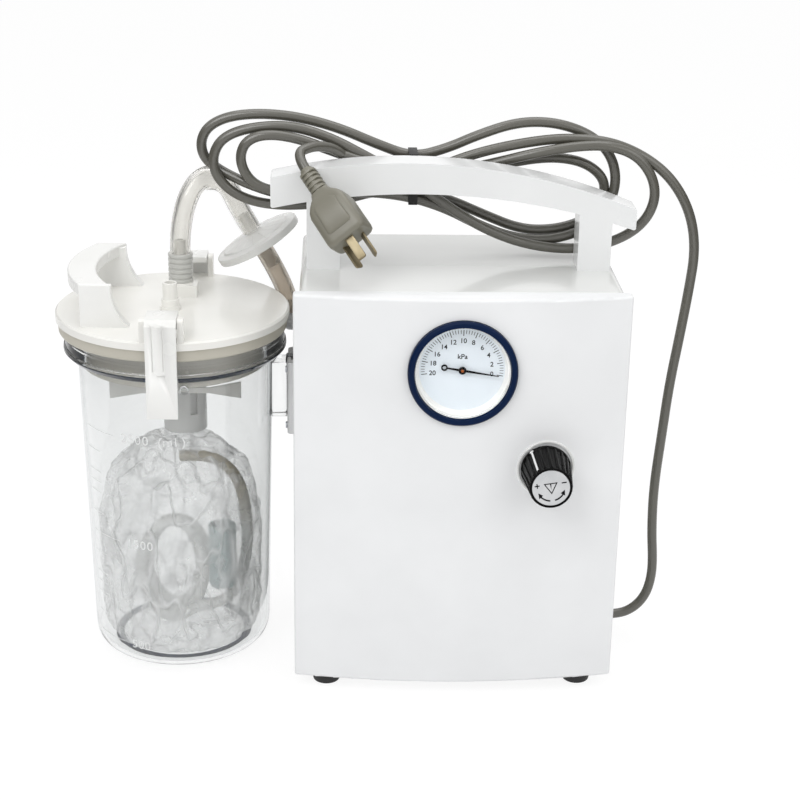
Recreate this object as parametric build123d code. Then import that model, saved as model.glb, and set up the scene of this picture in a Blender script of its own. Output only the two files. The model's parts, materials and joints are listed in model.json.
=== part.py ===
"""Portable vacuum aspirator with a clip-on collecting jar.

A low white case stands on four rubber feet and carries an arched handle, a vacuum gauge
and a regulator knob. A clear jar hangs on a bracket on its left side. The jar's lid has
two snap clips, a grip, a float cut-off, a patient port and a hose that leads through a
disc filter to the port on the case. The mains cord leaves the right side low down and
is stored in a figure of eight behind the handle, with the plug hung over the front.

Millimetres, +Z up, the front faces -Y. Every shape is first drawn in the bench frame:
X = 0 in the middle of the front panel, Y = 0 at the panel's corners, Z = 0 on the table.
The last step moves it all to the row frame, whose origin is the middle of the footprint.
"""
from build123d import *
import math
import os

# Running clearances
fit = 0.08            # pin or shaft in its bore, on the radius
gap = 0.3             # faces of two pieces that move past each other
seat = 0.02           # faces of two pieces of one body that lie on each other

# Case
case_w = 222.0
case_d = 151.0
case_top = 300.0
foot_h = 10.0
wall = 3.0
seam_y = 70.0
corner_r = 5.0
case_screw_in = 14.0    # from the side wall
case_screw_end = 20.0   # from the floor and from the top

# Front panel
panel_lap = 4.0       # how far the panel reaches past each side of the case
panel_w = case_w + 2 * panel_lap
panel_bow = 11.0      # how far the middle stands in front of the corners
panel_t = 8.0         # depth of the panel's side walls
panel_edge_r = 2.0

# Louvres in the rear cover
louvre_count = 9
louvre_w = 120.0
louvre_h = 3.6
louvre_pitch = 10.0
louvre_z0 = 70.0
louvre_tilt = 35.0

# Feet
foot_r = 11.2
foot_taper = 1.6
foot_x = case_w / 2 - 19.0
foot_front_y = 14.5
foot_rear_y = case_d - 15.0
foot_recess_r = 5.5
foot_recess_h = 5.0
screw_r = 2.0
screw_head_r = 4.0
screw_head_h = 2.4

# Carry handle: an arched channel on two posts, leaning down to the right
handle_y = 58.5
handle_d = 24.0
handle_wall = 3.0
post_x = case_w / 2 - 16.0
post_w = 23.2
bar_left = -post_x - 36.5
bar_right = post_x + 28.3
bar_top_r = 420.0
bar_top_x = -37.0
bar_top_z = 376.2
bar_low_r = 480.0
bar_low_x = -30.0
bar_low_z = 354.5
bar_corner_r = 1.5

# Vacuum gauge
gauge_z = 248.3
gauge_ring_r = 37.5
gauge_open_r = 32.5
gauge_ring_stand = 4.0     # how far the ring stands out of the panel
gauge_ring_t = 3.0
gauge_case_r = 33.5
gauge_case_wall = 1.2
gauge_case_back = 26.0
gauge_lens_t = 1.5
gauge_dial_depth = 12.0    # from the ring's face back to the dial
gauge_dial_t = 1.0
pointer_len = 25.0
pointer_tail = 12.0
pointer_w = 2.4
pointer_t = 0.6
pointer_hub_r = 3.2
pointer_rest = -9.4        # degrees from level, at the zero mark
arbor_r = 0.9
capsule_r = 20.0
capsule_t = 6.0
gauge_spigot_r = 4.0
gauge_spigot_len = 14.0

# Regulator and its knob
knob_x = 59.6
knob_z = 177.8
knob_base_r = 18.0
knob_front_r = 14.75
knob_face_y = -43.0
knob_flutes = 20
knob_flute_r = 1.1
knob_cap_r = 13.0
knob_cap_t = 1.6
stem_r = 3.0
stem_back_y = 24.0
regulator_r = 12.0
regulator_back_y = 44.0
regulator_port_r = 3.5
regulator_port_len = 14.0
nut_af = 17.0
nut_t = 3.0
plunger_r = 5.0
plunger_len = 10.0
plunger_travel = 0.9

# Linear diaphragm pump on rubber mounts
pump_w = 76.0
pump_d = 62.0
pump_h = 66.0
pump_y = 84.0
pump_mount_h = 12.0
pump_mount_r = 8.0
pump_wall = 4.0
coil_w = 34.0
head_r = 27.0
head_t = 22.0
diaphragm_r = 25.0
diaphragm_t = 2.5
armature_h = 14.0
armature_d = 20.0
armature_stroke = 1.5
rod_r = 4.0

# Silencer, inner tubes and the port for the hose
silencer_r = 17.0
silencer_h = 92.0
silencer_x = case_w / 2 - 33.0
silencer_y = case_d - 33.0
silencer_z = 118.0
inner_tube_r = 4.5
port_y = case_d - 20.0
port_x = -case_w / 2 - 9.5
port_z = 236.0
port_top = 254.0
barb_r = 4.0
barb_bore_r = 2.4
port_flange_r = 9.0
port_flange_t = 3.0

# Mains switch, fuse and cord entry on the right wall
switch_y = case_d - 39.0
switch_z = 62.0
switch_w = 21.0
switch_h = 15.0
rocker_w = 16.0
rocker_h = 11.0
rocker_tilt = 18.0
rocker_pin_r = 1.5
rocker_pin_in = 2.5         # how far the pin lies inside the wall's face
fuse_y = switch_y
fuse_z = 34.0
fuse_r = 6.5

# Collecting jar
jar_x = -case_w / 2 - 90.5
jar_y = 80.0
jar_bottom = 5.0
jar_low_r = 65.3
jar_high_r = 70.3
jar_bottom_r = 16.0
jar_wall = 2.6
flange_low = 235.0
flange_top = flange_low + 6.0
flange_r = 79.6
flange_bevel = 3.4
rim_top = flange_top + 10.0
rim_r = 78.4
bracket_low = 174.0
bracket_top = 229.0
bracket_w = 36.0
bracket_t = 10.0
bracket_face = -case_w / 2 - bracket_t
lug_low = 184.3
lug_top = 226.5
lug_w = 20.0
lug_neck_w = 8.0
lug_head_t = 4.0

# What is stored in the jar
bag_r = 57.0
bag_top = 160.0
bag_film = 1.0
coil_r = 34.0              # middle of the coiled hose's ring
coil_half_d = 13.0
coil_half_t = 11.0
connector_r = 10.0
connector_len = 50.0

# Lid
lid_x = jar_x - 1.2
lid_r = 83.2
lid_low = rim_top + 8.5
lid_top = lid_low + 6.5
gasket_r = 81.4
gasket_in_r = 70.0
grip_top = lid_top + 31.0
grip_t = 8.0
grip_leg_t = 8.0
grip_front_y = jar_y - 50.0
grip_back_y = jar_y + 54.0
grip_bulge = lid_x - 73.0
grip_outer = lid_x - 59.3
grip_inner = lid_x - 37.9
grip_inner_bulge = lid_x - 52.9
grip_flare = lid_x - 25.8
patient_x = lid_x - 1.0
patient_y = jar_y - 8.5
patient_r = 6.3
patient_step_r = 5.2
patient_top = lid_top + 20.0
patient_len = 12.0
patient_bore_r = 3.6
collar_r = 7.4
collar_h = 3.0
vacuum_x = lid_x + 3.7
vacuum_y = jar_y + 29.0
vacuum_block_h = 10.0
connector_top = lid_top + 31.0
ribbed_r = 9.0
ribbed_grooves = 4
block_right = lid_x + 15.7
block_front = vacuum_y - 11.0
cage_x = lid_x + 6.7
cage_r = 15.5
cage_wall = 1.6
cage_low = 175.5
cage_slots = 6
float_r = 12.0
float_h = 30.0

# Clips
clip_w = 21.2
clip_t = 3.8
clip_pivot_r = 78.0        # from the lid's axis
clip_pivot_up = 12.5       # above the lid
clip_in_r = 84.5
clip_back_r = 64.0         # inner end of the clip's top plate
clip_top_up = 17.0
clip_bottom = 213.0
clip_knuckle_r = 4.0
clip_pin_r = 1.5
clip_ear_w = 4.0
clip_front_x = lid_x - 1.0
clip_back_x = lid_x + 9.2
clip_hook_in = 77.6

# Hoses and filter on the lid
hose_r = 7.5
hose_bore = 4.1
filter_x = lid_x + 59.0
filter_z = 301.0
filter_lean = 30.3         # degrees, the disc's axis from upright towards the left
filter_r = 33.0
filter_rim_t = 6.0
filter_t = 13.0
filter_barb_len = 16.0

# Mains cord, plug and the stored hank
cord_r = 3.6
gland_y = 78.0
gland_z = 19.0
gland_out = 10.0
gland_in = 6.0
gland_base_r = 7.0
gland_tip_r = 4.9
hank_y = 84.5
hank_d = 11.8
tie_x = -32.0
tie_w = 6.0
tie_t = 1.5
plug_neck_len = 22.0
plug_len = 60.0
plug_w = 30.0
plug_t = 24.0
blade_w = 6.3
blade_t = 1.5
blade_len = 18.0
blade_spread = 7.0

# Row frame: the middle of the footprint on the table, without the cord
clip_out_r = clip_in_r + clip_t
row_x = (lid_x - lid_r + bar_right) / 2
row_y = (knob_face_y + jar_y + clip_out_r) / 2

LOW = (Align.CENTER, Align.CENTER, Align.MIN)


def block(x0, x1, y0, y1, z0, z1):
    """A box between two corners."""
    return Pos((x0 + x1) / 2, (y0 + y1) / 2, (z0 + z1) / 2) * Box(x1 - x0, y1 - y0, z1 - z0)


def rod_z(r, x, y, z0, z1):
    return Pos(x, y, z0) * Cylinder(r, z1 - z0, align=LOW)


def rod_y(r, x, z, y0, y1):
    return Pos(x, y1, z) * Rot(90, 0, 0) * Cylinder(r, y1 - y0, align=LOW)


def rod_x(r, y, z, x0, x1):
    return Pos(x0, y, z) * Rot(0, 90, 0) * Cylinder(r, x1 - x0, align=LOW)


def turned(points):
    """Revolves an outline of (radius, height) points round Z."""
    outline = Polyline(*[(r, 0, z) for r, z in points], close=True)
    return revolve(make_face(outline), axis=Axis.Z)


def solids(*shapes):
    """Several separate solids in one node."""
    found = []
    for shape in shapes:
        found += shape.solids()
    return Compound(children=found)


def bow_radius():
    return ((panel_w / 2) ** 2 + panel_bow ** 2) / (2 * panel_bow)


def panel_face_y(x):
    """Y of the bowed front face at a place across the panel."""
    r = bow_radius()
    return (r - panel_bow) - math.sqrt(r * r - x * x)


def bowed_slab(inset, y_back, z0, z1):
    """A plate with the panel's bowed front, set in by a wall."""
    half = panel_w / 2 - inset
    r = bow_radius() - inset
    centre = bow_radius() - panel_bow
    y_end = centre - math.sqrt(r * r - half * half)
    front = ThreePointArc((-half, y_end), (0, centre - r), (half, y_end))
    back = Polyline((half, y_end), (half, y_back), (-half, y_back), (-half, y_end))
    face = make_face(Curve() + [front, back])
    return Pos(0, 0, z0) * extrude(face, z1 - z0)


# Case

def front_panel():
    shell = bowed_slab(0, panel_t, foot_h, case_top)
    rim = shell.edges().filter_by(lambda e: e.center().Y < panel_t - 1)
    shell = fillet(rim, panel_edge_r)
    shell -= bowed_slab(wall, panel_t + 1, foot_h + wall, case_top - wall)
    shell -= rod_y(gauge_case_r + gap, 0, gauge_z, -2 * panel_bow, panel_t)
    shell -= rod_y(gauge_ring_r + gap, 0, gauge_z, -2 * panel_bow, gauge_ring_back_y())
    shell -= rod_y(stem_r + 1, knob_x, knob_z, -2 * panel_bow, panel_t)
    return shell


def case_ring(y0, y1, closed_y):
    """One half of the case: four walls and a closed end."""
    half = case_w / 2
    outer = block(-half, half, y0, y1, foot_h, case_top)
    outer = fillet(outer.edges().filter_by(Axis.Y), corner_r)
    inner = block(-half + wall, half - wall, y0, y1, foot_h + wall, case_top - wall)
    inner = fillet(inner.edges().filter_by(Axis.Y), corner_r - wall)
    shift = wall if closed_y == y0 else -wall
    return outer - Pos(0, shift, 0) * inner


def foot_places():
    return [(x, y) for x in (-foot_x, foot_x) for y in (foot_front_y, foot_rear_y)]


def handle_post_places():
    return (-post_x, post_x)


def front_cover():
    cover = case_ring(panel_t, seam_y, panel_t)
    cover -= rod_y(gauge_case_r + gap, 0, gauge_z, panel_t - 1, panel_t + wall + 1)
    cover -= rod_y(regulator_r / 2 + fit, knob_x, knob_z, panel_t - 1, panel_t + wall + 1)
    for x, y in foot_places():
        if y < seam_y:
            cover -= rod_z(screw_r + fit, x, y, foot_h - 1, foot_h + wall + 1)
    return cover


def louvre(z):
    slot = Box(louvre_w, 4 * wall, louvre_h)
    return Pos(0, case_d - wall / 2, z) * Rot(louvre_tilt, 0, 0) * slot


def rear_cover():
    cover = case_ring(seam_y, case_d, case_d)
    for i in range(louvre_count):
        cover -= louvre(louvre_z0 + i * louvre_pitch)
    for x, y in foot_places():
        if y > seam_y:
            cover -= rod_z(screw_r + fit, x, y, foot_h - 1, foot_h + wall + 1)
    for x, z in case_screw_places():
        cover -= rod_y(screw_r + fit, x, z, case_d - wall - 1, case_d + 1)
    right = case_w / 2
    cover -= block(right - wall - 1, right + 1, switch_y - switch_w / 2, switch_y + switch_w / 2,
                   switch_z - switch_h / 2, switch_z + switch_h / 2)
    cover -= rod_x(fuse_r - 1, fuse_y, fuse_z, right - wall - 1, right + 1)
    cover -= rod_x(gland_tip_r + seat, gland_y, gland_z, right - wall - 1, right + 1)
    cover -= rod_x(barb_r + 1, port_y, port_z, -right - 1, -right + wall + 1)
    return cover


def case_screw_places():
    side = case_w / 2 - case_screw_in
    heights = (foot_h + case_screw_end, (foot_h + case_top) / 2, case_top - case_screw_end)
    return [(x, z) for x in (-side, side) for z in heights]


def case_screws():
    """Pan-head screws that hold the rear cover."""
    made = []
    for x, z in case_screw_places():
        head = rod_y(screw_head_r, x, z, case_d, case_d + screw_head_h)
        made.append(head + rod_y(screw_r, x, z, case_d - 12, case_d))
    return solids(*made)


def base_plate():
    half = case_w / 2 - wall - 4
    low = foot_h + wall
    plate = block(-half, half, panel_t + wall + seat, case_d - wall - 4, low, low + 2)
    plate += block(-half, half, case_d - wall - 6, case_d - wall - 4, low, low + 13)
    for x, y in foot_places():
        plate -= rod_z(screw_r + fit, x, y, low - 1, low + 3)
    return plate


def rubber_feet():
    made = []
    for x, y in foot_places():
        cone = turned([(0, 0), (foot_r - foot_taper, 0), (foot_r, foot_h), (0, foot_h)])
        foot = Pos(x, y, 0) * cone
        foot -= rod_z(foot_recess_r, x, y, -1, foot_recess_h)
        foot -= rod_z(screw_r + fit, x, y, 0, foot_h + 1)
        made.append(foot)
    return solids(*made)


def foot_screws():
    made = []
    top = foot_h + wall + 4
    for x, y in foot_places():
        head = rod_z(screw_head_r, x, y, foot_recess_h - screw_head_h, foot_recess_h)
        made.append(head + rod_z(screw_r, x, y, foot_recess_h, top))
    return solids(*made)


# Carry handle

def bar_top_at(x, inset):
    """Height of the bar's arched top, set in by a wall."""
    r = bar_top_r - inset
    return bar_top_z - bar_top_r + math.sqrt(r * r - (x - bar_top_x) ** 2)


def bar_low_at(x, inset):
    """Height of the bar's arched underside, set in by a wall."""
    r = bar_low_r + inset
    return bar_low_z - bar_low_r + math.sqrt(r * r - (x - bar_low_x) ** 2)


def bar_outline(inset):
    """The bar's face between two arcs whose tops lie left of the middle."""
    left = bar_left + inset
    right = bar_right - inset
    upper = ThreePointArc(*[(x, bar_top_at(x, inset)) for x in (left, bar_top_x, right)])
    lower = ThreePointArc(*[(x, bar_low_at(x, inset)) for x in (left, bar_low_x, right)])
    ends = [Line((x, bar_low_at(x, inset)), (x, bar_top_at(x, inset))) for x in (left, right)]
    face = make_face(Curve() + [upper, lower] + ends)
    return fillet(face.vertices(), max(bar_corner_r - inset, 0.5))


def handle_form(inset, y0, y1, z0):
    """Bar and posts together, set in by a wall."""
    flat = Plane.XZ.offset(-y1)
    form = extrude(flat * bar_outline(inset), y1 - y0)
    for x in handle_post_places():
        half = post_w / 2 - inset
        form += block(x - half, x + half, y0, y1, z0, bar_low_at(x, 0) + handle_wall + 1)
    return form


def carry_handle():
    back = handle_y + handle_d
    handle = handle_form(0, handle_y, back, case_top)
    return handle - handle_form(handle_wall, handle_y + handle_wall, back + 1, case_top + handle_wall)


def handle_screws():
    """Screws from inside the case into the foot of each post."""
    made = []
    for x in handle_post_places():
        y = handle_y + handle_wall * 2 + screw_head_r
        z = case_top + handle_wall
        made.append(rod_z(screw_head_r, x, y, z, z + screw_head_h))
    return solids(*made)


# Gauge

def gauge_front_y():
    return -panel_bow - gauge_ring_stand


def gauge_ring_back_y():
    """Floor of the recess in the bowed panel that the ring sits in."""
    return panel_face_y(gauge_ring_r) + 0.2


def gauge_ring():
    """Ring that lies in the panel's recess and laps over the rim of the gauge case."""
    depth = gauge_ring_back_y() - gauge_front_y()
    socket_r = gauge_case_r + seat
    ring = turned([(socket_r, seat), (gauge_ring_r, seat), (gauge_ring_r, depth - 1),
                   (gauge_ring_r - 1, depth), (gauge_open_r + 0.6, depth), (gauge_open_r, depth - 0.6),
                   (gauge_open_r, depth - gauge_ring_t + seat), (socket_r, depth - gauge_ring_t + seat)])
    return Pos(0, gauge_ring_back_y(), gauge_z) * Rot(90, 0, 0) * ring


def gauge_case():
    """Cup that holds the dial, with the pressure spigot at its back."""
    y0 = gauge_front_y() + gauge_ring_t
    cup = rod_y(gauge_case_r, 0, gauge_z, y0, gauge_case_back)
    cup -= rod_y(gauge_case_r - gauge_case_wall, 0, gauge_z, y0 - 1, gauge_case_back - gauge_case_wall)
    spigot = rod_y(gauge_spigot_r, 0, gauge_z - 16, gauge_case_back - 1, gauge_case_back + gauge_spigot_len)
    return cup + spigot


def gauge_dial():
    y = gauge_front_y() + gauge_dial_depth
    dial = rod_y(gauge_case_r - gauge_case_wall - seat, 0, gauge_z, y, y + gauge_dial_t)
    return dial - rod_y(arbor_r + fit, 0, gauge_z, y - 1, y + gauge_dial_t + 1)


def gauge_lens():
    y = gauge_front_y() + gauge_ring_t
    return rod_y(gauge_case_r - gauge_case_wall - seat, 0, gauge_z, y, y + gauge_lens_t)


def gauge_capsule():
    """Metal capsule and its bridge behind the dial."""
    y = gauge_front_y() + gauge_dial_depth + gauge_dial_t
    back = gauge_case_back - gauge_case_wall
    capsule = rod_y(capsule_r, 0, gauge_z, back - capsule_t, back)
    bridge = rod_y(6, 0, gauge_z, y + 3, back - capsule_t)
    bridge -= rod_y(arbor_r + fit, 0, gauge_z, y, back - capsule_t - 2)
    return capsule + bridge


def gauge_pointer():
    """Pointer with its hub and arbor, at the zero mark."""
    y = gauge_front_y() + gauge_dial_depth
    blade_y = y - 2.0
    tip = Polyline((-pointer_tail, -pointer_w / 2), (0, -pointer_w / 2), (pointer_len, -0.3),
                   (pointer_len, 0.3), (0, pointer_w / 2), (-pointer_tail, pointer_w / 2), close=True)
    blade = extrude(Plane.XZ.offset(-blade_y) * make_face(tip), pointer_t)
    tail = rod_y(pointer_w, -pointer_tail, 0, blade_y - pointer_t, blade_y)
    hub = rod_y(pointer_hub_r, 0, 0, blade_y - 1.4, blade_y)
    arbor = rod_y(arbor_r, 0, 0, blade_y, y + gauge_dial_t + 6)
    return Pos(0, 0, gauge_z) * Rot(0, -pointer_rest, 0) * (blade + tail + hub + arbor)


# Regulator

def knob_back_y():
    """Back of the skirt, clear of the bowed panel at its inner side."""
    return panel_face_y(knob_x - knob_base_r) - gap


def knob_skirt():
    """Tapered, fluted skirt with a seat for the cap."""
    depth = knob_back_y() - knob_face_y
    skirt = turned([(0, 0), (knob_base_r, 0), (knob_base_r - 0.6, 3), (knob_front_r, depth - 1),
                    (knob_front_r - 0.8, depth), (knob_cap_r + seat, depth),
                    (knob_cap_r + seat, depth - knob_cap_t), (0, depth - knob_cap_t)])
    lean = math.degrees(math.atan((knob_base_r - knob_front_r) / depth))
    for i in range(knob_flutes):
        flute = Pos(knob_base_r + 0.3, 0, 4) * Rot(0, -lean, 0) * Cylinder(knob_flute_r, depth, align=LOW)
        skirt -= Rot(0, 0, i * 360 / knob_flutes) * flute
    skirt -= Cylinder(stem_r + seat, depth / 2, align=LOW)
    return Pos(knob_x, knob_back_y(), knob_z) * Rot(90, 0, 0) * skirt


def knob_cap():
    return rod_y(knob_cap_r, knob_x, knob_z, knob_face_y, knob_face_y + knob_cap_t - seat)


def knob_stem():
    depth = knob_back_y() - knob_face_y
    return rod_y(stem_r, knob_x, knob_z, knob_back_y() - depth / 2 + seat, stem_back_y)


def regulator_body():
    """Valve body with two hose ports, behind the front cover."""
    front = panel_t + wall
    body = rod_y(regulator_r, knob_x, knob_z, front, regulator_back_y)
    body += rod_y(regulator_r / 2, knob_x, knob_z, panel_t - nut_t, front)
    body -= rod_y(stem_r + fit, knob_x, knob_z, panel_t - nut_t - 1, front + 8)
    body -= rod_y(plunger_r + gap, knob_x, knob_z, front + 8, regulator_back_y - wall)
    for side in (-1, 1):
        start = knob_z + side * (regulator_r - 1)
        end = knob_z + side * (regulator_r + regulator_port_len)
        body += rod_z(regulator_port_r, knob_x, front + 22, min(start, end), max(start, end))
    return body


def regulator_nut():
    nut = extrude(Plane.XZ.offset(-panel_t) * (Pos(knob_x, knob_z) * RegularPolygon(nut_af / 2, 6)), nut_t)
    return nut - rod_y(regulator_r / 2 + seat, knob_x, knob_z, panel_t - nut_t - 1, panel_t + 1)


def regulator_plunger():
    """Valve head that the stem's screw moves in and out."""
    y = stem_back_y + plunger_travel + gap
    head = rod_y(plunger_r, knob_x, knob_z, y, y + plunger_len - 4)
    seat_cone = Pos(knob_x, y + plunger_len - 4, knob_z) * Rot(-90, 0, 0) * Cone(plunger_r, 1.5, 4, align=LOW)
    return head + seat_cone


# Pump

def pump_floor():
    return foot_h + wall + 2 + pump_mount_h


def pump_axis_z():
    return pump_floor() + pump_h / 2


def pump_mounts():
    made = []
    for x in (-pump_w / 2 + pump_mount_r, pump_w / 2 - pump_mount_r):
        for y in (pump_y - pump_d / 2 + pump_mount_r, pump_y + pump_d / 2 - pump_mount_r):
            low = foot_h + wall + 2
            drum = turned([(0, 0), (pump_mount_r, 0), (pump_mount_r - 1.5, pump_mount_h / 2),
                           (pump_mount_r, pump_mount_h), (0, pump_mount_h)])
            made.append(Pos(x, y, low) * drum)
    return solids(*made)


def pump_frame():
    """Open frame: floor, roof and two end plates with bores for the armature rod."""
    x = pump_w / 2
    y0 = pump_y - pump_d / 2
    y1 = pump_y + pump_d / 2
    z0 = pump_floor()
    frame = block(-x, x, y0, y1, z0, z0 + pump_h)
    frame -= block(-x + pump_wall, x - pump_wall, y0 - 1, y1 + 1, z0 + pump_wall, z0 + pump_h - pump_wall)
    return frame - rod_x(rod_r + gap, pump_y, pump_axis_z(), -x - 1, x + 1)


def pump_coils():
    """Two wound coils on their cores, above and below the armature."""
    made = []
    room = pump_h / 2 - pump_wall - armature_h / 2 - 1.5
    for side in (-1, 1):
        base = pump_axis_z() + side * (pump_h / 2 - pump_wall)
        tip = base - side * room
        z0, z1 = min(base, tip), max(base, tip)
        for x in (-coil_w / 2, coil_w / 2):
            core = block(x - 6, x + 6, pump_y - 10, pump_y + 10, z0, z1)
            made.append(core + block(x - 12, x + 12, pump_y - 16, pump_y + 16, z0 + 2, z1 - 2))
    return solids(*made)


def pump_armature():
    """Magnet bar on a rod that shuttles between the two diaphragms."""
    half = pump_w / 2 - pump_wall - armature_stroke - 4
    bar = block(-half, half, pump_y - armature_d / 2, pump_y + armature_d / 2,
                pump_axis_z() - armature_h / 2, pump_axis_z() + armature_h / 2)
    reach = pump_w / 2 + 2
    return bar + rod_x(rod_r, pump_y, pump_axis_z(), -reach, reach)


def pump_diaphragms():
    made = []
    for side in (-1, 1):
        a = side * (pump_w / 2 + 4.5)
        b = a + side * diaphragm_t
        made.append(rod_x(diaphragm_r - seat, pump_y, pump_axis_z(), min(a, b), max(a, b)))
    return solids(*made)


def pump_heads():
    """Cup-shaped heads with a hose spigot, one on each end of the frame."""
    made = []
    for side in (-1, 1):
        a = side * pump_w / 2
        b = a + side * head_t
        x0, x1 = min(a, b), max(a, b)
        head = rod_x(head_r, pump_y, pump_axis_z(), x0, x1)
        c = a + side * (4.5 + diaphragm_t)
        head -= rod_x(diaphragm_r, pump_y, pump_axis_z(), min(a, c), max(a, c))
        d = b - side * 4
        head -= rod_x(diaphragm_r - 6, pump_y, pump_axis_z(), min(a, d), max(a, d))
        top = pump_axis_z() + head_r
        head += rod_z(inner_tube_r - 1.5, b - side * 8, pump_y, top - 2, top + 14)
        made.append(head)
    return solids(*made)


def silencer():
    """Buffer bottle on the rear of the case."""
    z0 = silencer_z
    body = Pos(silencer_x, silencer_y, z0) * turned([
        (0, 0), (silencer_r - 2, 0), (silencer_r, 2), (silencer_r, silencer_h - 6),
        (silencer_r - 6, silencer_h), (0, silencer_h)])
    body += block(silencer_x - 8, silencer_x + 8, silencer_y + silencer_r - 3, case_d - wall,
                  z0 + 20, z0 + 44)
    body += rod_z(inner_tube_r - 1.5, silencer_x, silencer_y, z0 + silencer_h - 1, z0 + silencer_h + 10)
    return body + rod_z(inner_tube_r - 1.5, silencer_x, silencer_y, z0 - 12, z0 + 1)


def bend_radii(points):
    """Radius of each corner: 0.45 of its shorter run over the tangent of half the turn."""
    spots = [Vector(*p) for p in points]
    radii = []
    for a, b, c in zip(spots, spots[1:], spots[2:]):
        turn = math.radians((b - a).get_angle(c - b))
        radii.append(0.45 * min((b - a).length, (c - b).length) / math.tan(turn / 2))
    return radii


def tube(points, radius, bore=0.0):
    """A round tube along straight runs joined by tangent arcs."""
    route = FilletPolyline(*points, radius=bend_radii(points))
    start = Plane(route @ 0, z_dir=route % 0)
    body = sweep(start * Circle(radius), path=route)
    if bore:
        body -= sweep(start * Circle(bore), path=route)
    return body


def inner_tubes():
    """Tubes from the port to the gauge, the regulator and the pump."""
    head_x = pump_w / 2 + head_t - 8
    head_top = pump_axis_z() + head_r + 14
    wall_x = -case_w / 2 + wall + 4
    to_pump = [(wall_x, port_y, port_z), (wall_x + 16, port_y, port_z),
               (wall_x + 30, port_y - 12, port_z - 40), (-head_x - 8, pump_y + 14, port_z - 86),
               (-head_x, pump_y, head_top + 24), (-head_x, pump_y, head_top)]
    valve_y = panel_t + wall + 22
    low = knob_z - regulator_r - regulator_port_len
    from_pump = [(head_x, pump_y, head_top), (head_x, pump_y, head_top + 16),
                 (silencer_x, silencer_y, silencer_z - 26), (silencer_x, silencer_y, silencer_z - 12)]
    high = knob_z + regulator_r + regulator_port_len
    gauge_y = gauge_case_back + gauge_spigot_len
    to_gauge = [(knob_x, valve_y, high), (knob_x, valve_y, high + 14),
                (knob_x - 24, gauge_y + 14, gauge_z - 18), (14, gauge_y + 18, gauge_z - 18),
                (0, gauge_y + 12, gauge_z - 16), (0, gauge_y, gauge_z - 16)]
    return solids(*[tube(route, inner_tube_r) for route in (to_pump, from_pump, to_gauge)])


def side_port():
    """Elbow on the left wall whose barb points up for the hose."""
    left = -case_w / 2
    flange = rod_x(port_flange_r, port_y, port_z, left - port_flange_t, left)
    neck = rod_x(barb_r + 1 - fit, port_y, port_z, port_x, left + wall + 4)
    elbow = Pos(port_x, port_y, port_z) * Sphere(barb_r + 1 - fit)
    barb = rod_z(barb_r - 0.3, port_x, port_y, port_z, port_top)
    for z in (port_top - 4, port_top - 8):
        barb += Pos(port_x, port_y, z) * Cone(barb_r, barb_r - 0.6, 4, align=LOW)
    body = flange + neck + elbow + barb
    return body - rod_z(barb_bore_r, port_x, port_y, port_z, port_top + 1)


# Switch, fuse and cord entry

def switch_housing():
    """Bezel and body of the rocker switch in the right wall."""
    right = case_w / 2
    y, z = switch_y, switch_z
    body = block(right - wall - 16, right, y - switch_w / 2 + fit, y + switch_w / 2 - fit,
                 z - switch_h / 2 + fit, z + switch_h / 2 - fit)
    body += block(right, right + 1.5, y - switch_w / 2 - 1.5, y + switch_w / 2 + 1.5,
                  z - switch_h / 2 - 1.5, z + switch_h / 2 + 1.5)
    body -= block(right - 9, right + 2, y - rocker_w / 2, y + rocker_w / 2,
                  z - rocker_h / 2, z + rocker_h / 2)
    reach = rocker_h / 2 + 1 + gap
    return body - rod_z(rocker_pin_r + fit, right - rocker_pin_in, y, z - reach, z + reach)


def switch_rocker():
    """Two-faced rocker on a pin whose ends sit in the housing."""
    half = rocker_w / 2 - gap * 3
    lift = half * math.tan(math.radians(rocker_tilt / 2))
    profile = Polyline((-half + 1, -5), (half - 1, -5), (half, lift), (0, 0.4), (-half, lift), close=True)
    rocker = extrude(make_face(profile), rocker_h / 2 - gap, both=True)
    rocker = Pos(case_w / 2, switch_y, switch_z) * Rot(0, 90, 0) * Rot(0, 0, 90) * rocker_turn(rocker)
    reach = rocker_h / 2 + 1
    return rocker + rod_z(rocker_pin_r, case_w / 2 - rocker_pin_in, switch_y, switch_z - reach, switch_z + reach)


def rocker_turn(rocker):
    """Lays the rocker's length along Y with its faces outwards."""
    return Rot(90, 0, 0) * rocker


def fuse_holder():
    right = case_w / 2
    cap = rod_x(fuse_r, fuse_y, fuse_z, right, right + 3)
    cap -= block(right + 2, right + 4, fuse_y - fuse_r, fuse_y + fuse_r, fuse_z - 0.8, fuse_z + 0.8)
    return cap + rod_x(fuse_r - 1 - fit, fuse_y, fuse_z, right - 24, right)


def cord_gland():
    """Tapered strain relief where the mains cord leaves the right wall."""
    right = case_w / 2
    nose = Pos(right, gland_y, gland_z) * Rot(0, 90, 0) * Cone(gland_base_r, gland_tip_r, gland_out, align=LOW)
    body = nose + rod_x(gland_tip_r, gland_y, gland_z, right - gland_in, right)
    return body


# Jar and bracket

def jar_bracket():
    """Block on the left wall with a T slot, open at the top."""
    left = -case_w / 2
    half = bracket_w / 2
    block_body = block(bracket_face, left, jar_y - half, jar_y + half, bracket_low, bracket_top)
    block_body = fillet(block_body.edges().filter_by(Axis.Z).group_by(Axis.X)[0], 3)
    neck = lug_neck_w / 2 + gap
    head = lug_w / 2 + gap
    low = lug_low - gap
    block_body -= block(bracket_face - 1, bracket_face + 3, jar_y - neck, jar_y + neck, low, bracket_top + 1)
    return block_body - block(bracket_face + 3, bracket_face + 3 + lug_head_t + 2 * gap, jar_y - head,
                              jar_y + head, low, bracket_top + 1)


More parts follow.
